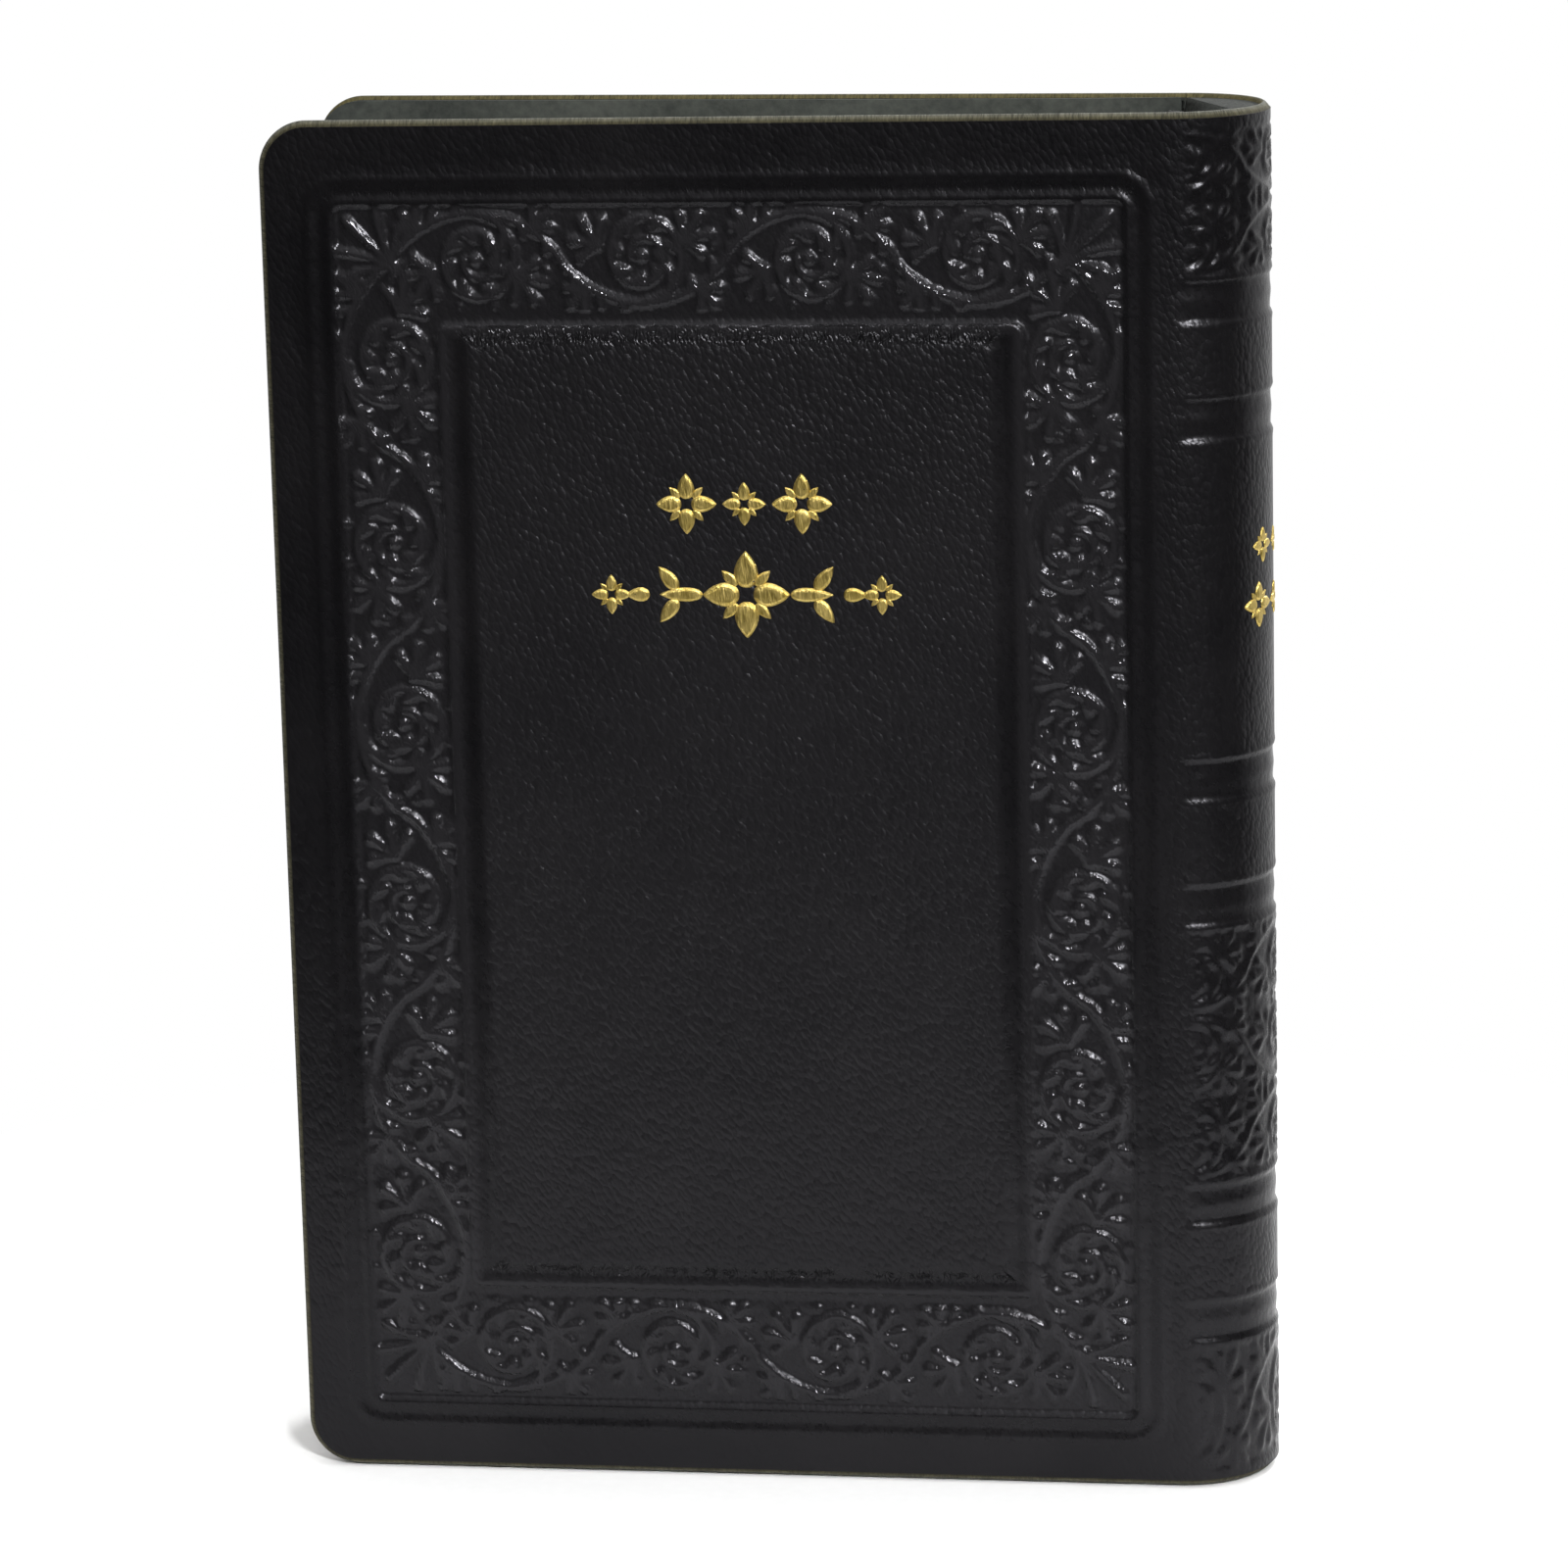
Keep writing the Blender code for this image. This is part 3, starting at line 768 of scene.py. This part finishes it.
coverPetals = coverPattern()
spinePetals = [petal for row in gilding["spineRows"] for petal in rowPetals(0.0, *row)]


def petalHalfWidth(x, length, width):
    turn = np.arccos(np.clip(2.0 * x / length, -1.0, 1.0))
    return 0.5 * width * np.sin(turn) * np.sin(0.5 * turn) ** 0.7 * 1.25


def stampDent(u, v, petals):  # the leather sinks under each petal
    dent = np.zeros_like(u)
    for centre, turn, length, width in petals:
        x = (u - centre[0]) * cos(turn) + (v - centre[1]) * sin(turn)
        y = (v - centre[1]) * cos(turn) - (u - centre[0]) * sin(turn)
        inside = (np.abs(x) < 0.5 * length) & (np.abs(y) < petalHalfWidth(x, length, width))
        dent[inside] = -gilding["dent"]
    return dent


def layPetal(bm, centre, turn, length, width):
    verts = bmesh.ops.create_circle(bm, cap_ends=True, segments=gilding["segments"], radius=1.0)["verts"]
    for vert in verts:
        x = vert.co.x * 0.5 * length
        half = float(petalHalfWidth(np.array(x), length, width)) if abs(vert.co.y) > 1e-6 else 0.0
        vert.co = (x, copysign(half, vert.co.y), 0.0)
    face = verts[0].link_faces[0]
    share = min(1.0, width / gilding["fullWidth"])
    halfLength, halfWidth = 0.5 * length, 0.5 * width
    for inset, rise in gilding["walls"]:  # each step in from the rim is drawn in and raised
        face = bmesh.ops.extrude_discrete_faces(bm, faces=[face])["faces"][0]
        verts = verts + list(face.verts)
        narrow = (1.0 - inset * share / halfLength, 1.0 - inset * share / halfWidth, 1.0)
        bmesh.ops.scale(bm, verts=list(face.verts), vec=narrow)
        bmesh.ops.translate(bm, verts=list(face.verts), vec=(0.0, 0.0, rise * share))
        halfLength, halfWidth = halfLength * narrow[0], halfWidth * narrow[1]
    bmesh.ops.rotate(bm, verts=verts, cent=(0.0, 0.0, 0.0), matrix=Matrix.Rotation(turn, 3, "Z"))
    bmesh.ops.translate(bm, verts=verts, vec=(centre[0], centre[1], gilding["lift"]))


def makeGilding(name, petals, place, body):
    bm = bmesh.new()
    for petal in petals:
        layPetal(bm, *petal)
    skirt = bmesh.ops.extrude_edge_only(bm, edges=[edge for edge in bm.edges if edge.is_boundary])["geom"]
    skirtVerts = [item for item in skirt if isinstance(item, bmesh.types.BMVert)]
    bmesh.ops.translate(bm, verts=skirtVerts, vec=(0.0, 0.0, -gilding["dent"] - gilding["foil"]))
    bmesh.ops.edgeloop_fill(bm, edges=[edge for edge in bm.edges if edge.is_boundary])
    mesh = meshFrom(bm, name, outward=False)
    flat = meshCoords(mesh)
    setCoords(mesh, place(flat[:, 0], flat[:, 1], -flat[:, 2]))
    faceOutwards(mesh)
    piece = makePiece(name, mesh, [goldFoil], smooth=False)
    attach(piece, body)


hide = dict(
    cell=1.15, cuts=3, lip=0.65, spineCells=(25, 120), underRows=25, underInset=0.1,
    rim=((0.03, 0.07), (0.28, 0.25), (0.52, 0.46), (0.63, 0.64), (0.58, 0.82), (0.42, 0.98), (0.22, 1.1)),
)  # rim: how far the rounded cut edge reaches out at each depth


def rollRim(bm, freeEdge):
    ring = [edge for edge in bm.edges if edge.is_boundary]
    lastReach, lastDepth = 0.0, 0.0
    for reach, depth in hide["rim"]:
        made = bmesh.ops.extrude_edge_only(bm, edges=ring)["geom"]
        for edge in ring:
            edge.smooth = lastDepth > 0.0  # crisp where the grain side is cut
        for face in made:
            if isinstance(face, bmesh.types.BMFace):
                face.material_index = 1
        ring = [edge for edge in made if isinstance(edge, bmesh.types.BMEdge) and edge.is_boundary]
        for vert in {vert for edge in ring for vert in edge.verts}:
            away = freeEdge(vert.co.x, vert.co.y)
            vert.co.x += away[0] * (reach - lastReach)
            vert.co.y += away[1] * (reach - lastReach)
            vert.co.z -= depth - lastDepth
        lastReach, lastDepth = reach, depth
    for edge in ring:
        edge.smooth = False


def layUnderside(bm, columns, low, high, corners):
    rows = np.linspace(low + hide["underInset"], high - hide["underInset"], hide["underRows"])
    under = layGrid(bm, columns, rows, -book["leather"])
    roundCorners(under, corners)
    bridged = bmesh.ops.bridge_loops(bm, edges=[edge for edge in bm.edges if edge.is_boundary])["faces"]
    for face in bridged + [face for vert in under for face in vert.link_faces]:
        face.material_index = 2


def hideShell(name, columns, rows, fine, corners, freeEdge, relief, place, underColumns):
    bm = bmesh.new()
    layGrid(bm, columns, rows)
    centres = np.array([face.calc_center_median()[:2] for face in bm.faces])
    for face, wanted in zip(bm.faces, fine(centres[:, 0], centres[:, 1])):
        face.tag = bool(wanted)
    edges = [edge for edge in bm.edges if any(face.tag for face in edge.link_faces)]
    bmesh.ops.subdivide_edges(bm, edges=edges, cuts=hide["cuts"], use_grid_fill=True)
    roundCorners(bm.verts, corners)
    rollRim(bm, freeEdge)
    layUnderside(bm, underColumns, rows[0], rows[-1], corners)
    mesh = meshFrom(bm, name, outward=False)
    flat = meshCoords(mesh)
    u, v, w = flat[:, 0].copy(), flat[:, 1].copy(), -flat[:, 2]
    grainSide = np.where(w < 1e-6, 1.0, 0.0)
    height, press, hatch, along, sheenAndWear = relief(u, v)
    setCoords(mesh, place(u, v, w - height * grainSide))
    # sheen-and-wear: a lighter tone, painted sheen and light on the tooling, real wear at the joints
    for label, values in (("press", press), ("hatch", hatch), ("sheenAndWear", sheenAndWear)):
        setPointValue(mesh, label, values * grainSide)
    setPointValue(mesh, "run", along)
    setPointValue(mesh, "cut", np.clip(w / book["leather"], 0.0, 1.0))
    faceOutwards(mesh)
    return makePiece(name, mesh, [blackLeather, cutEdge, fleshSide])


def coverFree(x, y):  # which way the free edges of a cover face
    radius = book["cornerRadius"]
    awayX = max(x - (book["coverWidth"] - radius), 0.0)
    awayY = y - min(max(y, radius), book["height"] - radius)
    gap = hypot(awayX, awayY)
    if gap < radius - hide["lip"] - 0.01:
        return 0.0, 0.0
    return awayX / gap, awayY / gap


def spineFree(x, y):
    if y < hide["lip"] + 0.01:
        return 0.0, -1.0
    if y > book["height"] - hide["lip"] - 0.01:
        return 0.0, 1.0
    return 0.0, 0.0


def makeCoverLeather(name, side, node, petals):
    height, lip, radius = book["height"], hide["lip"], book["cornerRadius"]
    width = book["coverWidth"] - lip
    columns = np.linspace(0.0, width, round(width / hide["cell"]) + 1)
    rows = np.linspace(lip, height - lip, round((height - 2.0 * lip) / hide["cell"]) + 1)

    def fine(u, v):  # finer mesh under the border, the rounded corners and the gilding
        ring = (boxDistance(u, v, border["outer"]) < 1.0) & (boxDistance(u, v, border["panel"]) > -1.3)
        rounded = (u > width - (radius - lip) - 0.2) & ((v < radius + 0.2) | (v > height - radius - 0.2))
        if not petals:
            return ring | rounded
        halfArea, low, high = gilding["coverArea"]
        return ring | rounded | ((np.abs(u - gilding["coverMiddle"]) < halfArea) & (v > low) & (v < high))

    def relief(u, v):
        heights, *marks = coverRelief(u, v)
        return heights + stampDent(u, v, petals), *marks

    corners = foreEdgeCorners(book["coverWidth"], 0.0, height, radius)
    under = joinRuns((0.15, 6.0, 14), (12.0, width - hide["underInset"], 14))  # closer lines where it bends
    piece = hideShell(name, columns, rows, fine, corners, coverFree, relief,
                      lambda u, v, w: coverPlace(side, u, v, w), under)
    bendAtJoint(piece)
    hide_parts(node)


def makeSpineLeather():
    halfArc = book["spineRadius"] * (pi * 0.5 - book["splay"])
    across, up = hide["spineCells"]
    columns = np.linspace(-halfArc, halfArc, across + 1)
    rows = np.linspace(hide["lip"], book["height"] - hide["lip"], up + 1)

    def relief(arc, z):
        heights, *marks = spineRelief(arc, z)
        return heights + stampDent(arc, z, spinePetals), *marks

    under = np.linspace(-halfArc + 0.05, halfArc - 0.05, 40)
    piece = hideShell("spineLeather", columns, rows, lambda arc, z: np.ones(len(arc), bool), [], spineFree,
                      relief, spinePlace, under)
    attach(piece, "spine")
    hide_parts("spine_leather")


def onPanel(u, v, w):  # the gilding lies on the padded middle of the front cover
    return coverPlace(frontSide, u, v, w - border["padding"])


makeCoverLeather("frontCoverLeather", frontSide, "front_cover_leather", coverPetals)
makeCoverLeather("backCoverLeather", backSide, "back_cover_leather", [])
makeSpineLeather()
makeGilding("coverGilding", coverPetals, onPanel, "front_cover")
makeGilding("spineGilding", spinePetals, spinePlace, "spine")
print("leather and gilding made")


lining = dict(
    thickness=0.3, outerEdge=89.6, inset=0.4, radius=4.6,
    path=((0.4, 1.13), (1.4, 1.16), (3.0, 1.3), (7.0, 1.55), (11.0, 2.0), (89.6, 2.0)),
)  # path: depth under the leather's grain side, from the joint to the fore-edge


def makePastedown(name, side, node):
    edge, radius = lining["outerEdge"], lining["radius"]
    low, high = lining["inset"], book["height"] - lining["inset"]
    columns = joinRuns((0.4, 6.0, 18), (7.0, 14.0, 8), (20.0, 84.0, 9), (85.0, edge, 7))
    rows = joinRuns((low, low + radius, 7), (20.0, 120.0, 11), (high - radius, high, 7))
    corners = foreEdgeCorners(edge, low, high, radius)
    mesh, u, v, w = thickSheet(name, columns, rows, lining["thickness"], corners)
    away, depth = np.array(lining["path"]).T
    setCoords(mesh, coverPlace(side, u, v, w + np.interp(u, away, depth)))
    if side == frontSide:
        mesh.flip_normals()
    piece = makePiece(name, mesh, [liningPaper])
    mesh.set_sharp_from_angle(angle=sharpAngle)
    bendAtJoint(piece)
    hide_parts(node)


leaf = dict(perSection=6, sections=16, sectionThickness=0.68, flyleafThickness=0.25, flyleafBack=0.2,
            air=0.012, corner=3.0, seed=11, spreadLength=0.12, pinch=0.62, flyleafShare=0.75)


def layLeaf(bm, reach, backReach, thickness, offset):
    low, high, corner = book["square"], book["height"] - book["square"], leaf["corner"]
    columns = np.concatenate([
        np.linspace(-backReach, 0.0, 4)[:-1], np.linspace(0.0, book["gutter"], 9),
        np.linspace(12.0, reach - corner, 4), np.linspace(reach - corner, reach, 6)[1:],
    ])
    rows = joinRuns((low, low + corner, 6), (30.0, 110.0, 3), (high - corner, high, 6))
    verts = layGrid(bm, columns, rows)
    roundCorners(verts, foreEdgeCorners(reach, low, high, corner))
    faces = list({face for vert in verts for face in vert.link_faces})
    made = bmesh.ops.solidify(bm, geom=faces, thickness=thickness)["geom"]
    made = [face for face in made if isinstance(face, bmesh.types.BMFace)]
    shell = {vert for face in made for vert in face.verts} | set(verts)
    lift = 0.5 * (max(vert.co.z for vert in shell) + min(vert.co.z for vert in shell))
    bmesh.ops.translate(bm, verts=list(shell), vec=(0.0, 0.0, offset - lift))


def makeLeaves(name, node, share, count, thickness, looks, backReach, length):
    foldY = joints[node + "_turn"]["pos_m"][1] / mm
    side = frontSide if foldY < 0.0 else backSide
    rng = np.random.default_rng(leaf["seed"] + int(round(1000.0 + foldY * 10.0)))
    bm = bmesh.new()
    for step in range(count):
        each, reach = thickness, length
        if count > 1:
            each = thickness / count - leaf["air"]
            reach = length + rng.uniform(-1.0, 0.0) * leaf["spreadLength"]
        layLeaf(bm, reach, backReach, each, (step - 0.5 * (count - 1)) * thickness / count)
    mesh = meshFrom(bm, name)
    cutFaces = [int(abs(polygon.normal.z) < 0.5) for polygon in mesh.polygons]
    r, z, o = meshCoords(mesh).T
    angle = book["splay"] * share
    turn = angle * smoothStep(0.0, book["gutter"], r)
    o = o * (leaf["pinch"] + (1.0 - leaf["pinch"]) * smoothStep(-backReach, 3.0, r))  # pinched at the fold
    x = foldX - r * np.cos(turn) + o * side * np.sin(turn)
    y = foldY + side * r * np.sin(turn) + o * np.cos(turn)
    setCoords(mesh, np.stack([x, y, z], axis=1) * mm)
    mesh.flip_normals()
    piece = makePiece(name, mesh, looks)
    if len(looks) > 1:
        mesh.polygons.foreach_set("material_index", cutFaces)
    mesh.set_sharp_from_angle(angle=sharpAngle)
    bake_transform(piece)
    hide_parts(node)


makePastedown("frontPastedown", frontSide, "front_pastedown")
makePastedown("backPastedown", backSide, "back_pastedown")
for label in ("front", "back"):
    makeLeaves(label + "Flyleaf", label + "_flyleaf", leaf["flyleafShare"], 1, leaf["flyleafThickness"],
               [liningPaper], leaf["flyleafBack"], book["leafWidth"])
for number in range(1, leaf["sections"] + 1):
    node = "section_%02d" % number
    foldY = joints[node + "_turn"]["pos_m"][1] / mm
    rank = abs(foldY) / book["pitch"] + 0.5  # 1 at the middle of the book
    share = leaf["flyleafShare"] * rank / (leaf["sections"] // 2 + 1)
    back = backHeight(foldY)
    makeLeaves("leaves%02d" % number, node, share, leaf["perSection"], leaf["sectionThickness"],
               [pagePaper, shadedCutPaper], back, book["leafWidth"] - back)
print("linings and leaves made")


sewnBack = dict(halfWidth=6.34, thickness=0.12, scallop=0.1, steps=160)


def makeSewnBack():
    radius, thickness = book["backRadius"], sewnBack["thickness"]
    halfAngle = asin(sewnBack["halfWidth"] / radius)
    columns = np.linspace(-halfAngle, halfAngle, sewnBack["steps"] + 1)
    rows = np.linspace(book["square"], book["height"] - book["square"], 30)
    mesh, angle, z, depth = thickSheet("sewnBack", columns, rows, thickness)
    y = radius * np.sin(angle)
    ridge = np.abs(np.cos(pi * y / book["pitch"]))  # one round for each folded section
    reach = radius - thickness + depth - sewnBack["scallop"] * ridge
    setCoords(mesh, roundPlace(book["backCentreX"], angle, z, reach))
    piece = makePiece("sewnBack", mesh, [foldPaper])
    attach(piece, "spine")
    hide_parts("text_block_back")


mull = dict(clearance=0.15, thickness=0.25, lines=41)


def makeMull():
    low, high = nodeBox("mull")
    radius = book["backRadius"] + mull["clearance"]
    halfAngle = asin(min(high.y, radius * 0.99) / radius)
    columns = np.linspace(-halfAngle, halfAngle, mull["lines"])
    rows = np.linspace(low.z, high.z, mull["lines"])
    mesh, angle, z, depth = thickSheet("mullCloth", columns, rows, mull["thickness"])
    setCoords(mesh, roundPlace(book["backCentreX"], angle, z, radius + depth))
    piece = makePiece("mullNet", mesh, [mullCloth])
    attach(piece, "spine")
    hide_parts("mull")


bead = dict(radius=0.78, steps=72, windings=24, swell=0.07, endGap=0.2, sides=12)


def makeBead(name, node):
    low, high = nodeBox(node)
    middleZ = 0.5 * (low.z + high.z)
    radius, centreX = bead["radius"], book["backCentreX"]
    centre = (centreX, 0.0, 0.0)
    trackRadius = high.x - centreX - radius
    halfAngle = asin(min(high.y - bead["endGap"], trackRadius * 0.98) / trackRadius)
    bm = bmesh.new()
    ring = bmesh.ops.create_circle(bm, cap_ends=True, segments=bead["sides"], radius=radius)["verts"]
    bmesh.ops.rotate(bm, verts=ring, cent=(0.0, 0.0, 0.0), matrix=Matrix.Rotation(pi * 0.5, 3, "X"))
    bmesh.ops.translate(bm, verts=ring, vec=(centreX + trackRadius, 0.0, middleZ))
    bmesh.ops.rotate(bm, verts=ring, cent=centre, matrix=Matrix.Rotation(-halfAngle, 3, "Z"))
    bmesh.ops.spin(bm, geom=bm.verts[:] + bm.edges[:] + bm.faces[:], cent=centre, axis=(0.0, 0.0, 1.0),
                   angle=2.0 * halfAngle, steps=bead["steps"], use_merge=False)
    bmesh.ops.remove_doubles(bm, verts=bm.verts, dist=1e-4)
    mesh = meshFrom(bm, name)
    coords = meshCoords(mesh)
    angle = np.arctan2(coords[:, 1], coords[:, 0] - centreX)
    wound = 1.0 + bead["swell"] * np.cos(angle / halfAngle * pi * bead["windings"])
    middle = roundPlace(centreX, angle, np.full_like(angle, middleZ), trackRadius)
    setCoords(mesh, middle + (coords * mm - middle) * wound[:, None])
    piece = makePiece(name, mesh, [beadCloth])
    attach(piece, "spine")
    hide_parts(node)


makeSewnBack()
makeMull()
makeBead("headBead", "head_band")
makeBead("tailBead", "tail_band")

cardLooks = dict(spine_liner=kraftPaper, front_cover_board=greyCard, back_cover_board=greyCard)
for node, look in cardLooks.items():
    mesh = frame["nodes"][node].data
    mesh.materials.clear()
    mesh.materials.append(look)
print("text block made")


studio = dict(
    floorColour=(0.92, 0.92, 0.92), floorShade=(0.90, 0.90, 0.90), floorFront=-0.125, floorBack=1.2,
    floorHalfWidth=0.17, floorRound=0.12, floorDrop=0.0002, speckScale=900.0,
    shadowReach=(0.07, 0.16), mirrorReach=(0.03, 0.25),  # metres: where the floor turns plain white
    roomDark=0.06, roomLight=1.25, roomRise=(0.30, 0.95), wallTurn=(0.0, 0.40),
)
white = (1.0, 1.0, 1.0, 1.0)


def mirrorRays(path):
    return combine(path.outputs["Is Glossy Ray"], path.outputs["Is Transmission Ray"], "MAXIMUM")


def floorLook():  # white far from the object, and its shadow stays
    look, tree, shader = newLook("paleFloor")
    plain = objectPoint(tree)
    speckle = fromNoise(noise(plain, studio["speckScale"], 2.0), 0.0, 1.0)
    colour = mixColour(speckle, studio["floorShade"], studio["floorColour"])
    tree.links.new(colour, shader.inputs["Base Color"])
    shader.inputs["Roughness"].default_value = 0.8
    shader.inputs["Specular IOR Level"].default_value = 0.1
    glow = addNode(tree, "ShaderNodeEmission", {"Color": white, "Strength": 1.0})
    path = addNode(tree, "ShaderNodeLightPath")
    depth = addNode(tree, "ShaderNodeSeparateXYZ", {0: plain}).outputs["Y"]
    distance = addNode(tree, "ShaderNodeVectorMath", {0: plain}, operation="LENGTH").outputs["Value"]
    seen = times(path.outputs["Is Camera Ray"], spread(distance, *studio["shadowReach"], 0.0, 1.0))
    behind = times(mirrorRays(path), spread(depth, *studio["mirrorReach"], 0.0, 1.0))
    plainWhite = combine(seen, behind, "MAXIMUM")
    mixed = addNode(tree, "ShaderNodeMixShader", {0: plainWhite, 1: shader.outputs[0], 2: glow.outputs[0]})
    tree.links.new(mixed.outputs[0], tree.nodes["Material Output"].inputs["Surface"])
    return look


def makeFloor():
    bm = bmesh.new()
    front, back = studio["floorFront"], studio["floorBack"]
    bmesh.ops.create_grid(bm, x_segments=1, y_segments=1, size=0.5)
    bmesh.ops.scale(bm, verts=bm.verts, vec=(2.0 * studio["floorHalfWidth"], back - front, 1.0))
    bmesh.ops.translate(bm, verts=bm.verts, vec=(0.0, 0.5 * (front + back), -studio["floorDrop"]))
    corners = [vert for vert in bm.verts if len(vert.link_edges) == 2]
    bmesh.ops.bevel(bm, geom=corners, offset=studio["floorRound"], affect="VERTICES", segments=6,
                    profile=0.5, material=-1)
    floor = makePiece("floor", meshFrom(bm, "floor", outward=False), [floorLook()])


def makeWorld():
    world = bpy.data.worlds.new("studioWorld")
    scene.world = world
    world.use_nodes = True
    tree = world.node_tree
    room = tree.nodes["Background"]
    spot = addNode(tree, "ShaderNodeTexCoord")
    direction = addNode(tree, "ShaderNodeSeparateXYZ", {0: spot.outputs["Generated"]})
    room.inputs["Color"].default_value = white
    glow = spread(direction.outputs["Z"], *studio["roomRise"], studio["roomDark"], studio["roomLight"])
    tree.links.new(glow, room.inputs["Strength"])
    backdrop = addNode(tree, "ShaderNodeBackground", {"Color": white, "Strength": 1.0})
    path = addNode(tree, "ShaderNodeLightPath")
    behind = spread(direction.outputs["Y"], *studio["wallTurn"], 0.0, 1.0)
    seen = combine(path.outputs["Is Camera Ray"], times(mirrorRays(path), behind), "MAXIMUM")
    mixed = addNode(tree, "ShaderNodeMixShader", {0: seen, 1: room.outputs[0], 2: backdrop.outputs[0]})
    tree.links.new(mixed.outputs[0], tree.nodes["World Output"].inputs["Surface"])


lamps = dict(
    topSoftbox=dict(place=(0.0, -0.05, 0.65), target=(0.0, 0.0, 0.0), size=0.32, power=0.70, beam=150.0),
    keySoftbox=dict(place=(0.39, -0.78, 0.57), target=(0.0, 0.0, 0.08), size=0.12, power=0.52, beam=40.0),
    backSoftbox=dict(place=(0.30, 0.80, 0.57), target=(0.0, 0.0, 0.08), size=0.24, power=0.51, beam=40.0),
)


def makeLamp(name, place, target, size, power, beam):
    data = bpy.data.lights.new(name, "AREA")
    data.size, data.energy, data.spread = size, power, radians(beam)
    lamp = addObject(name, data)
    lamp.location = place
    lamp.rotation_euler = (Vector(target) - Vector(place)).to_track_quat("-Z", "Y").to_euler()


makeFloor()
makeWorld()
for name, settings in lamps.items():
    makeLamp(name, **settings)
scene.view_settings.view_transform = "Standard"
print("floor and light made")
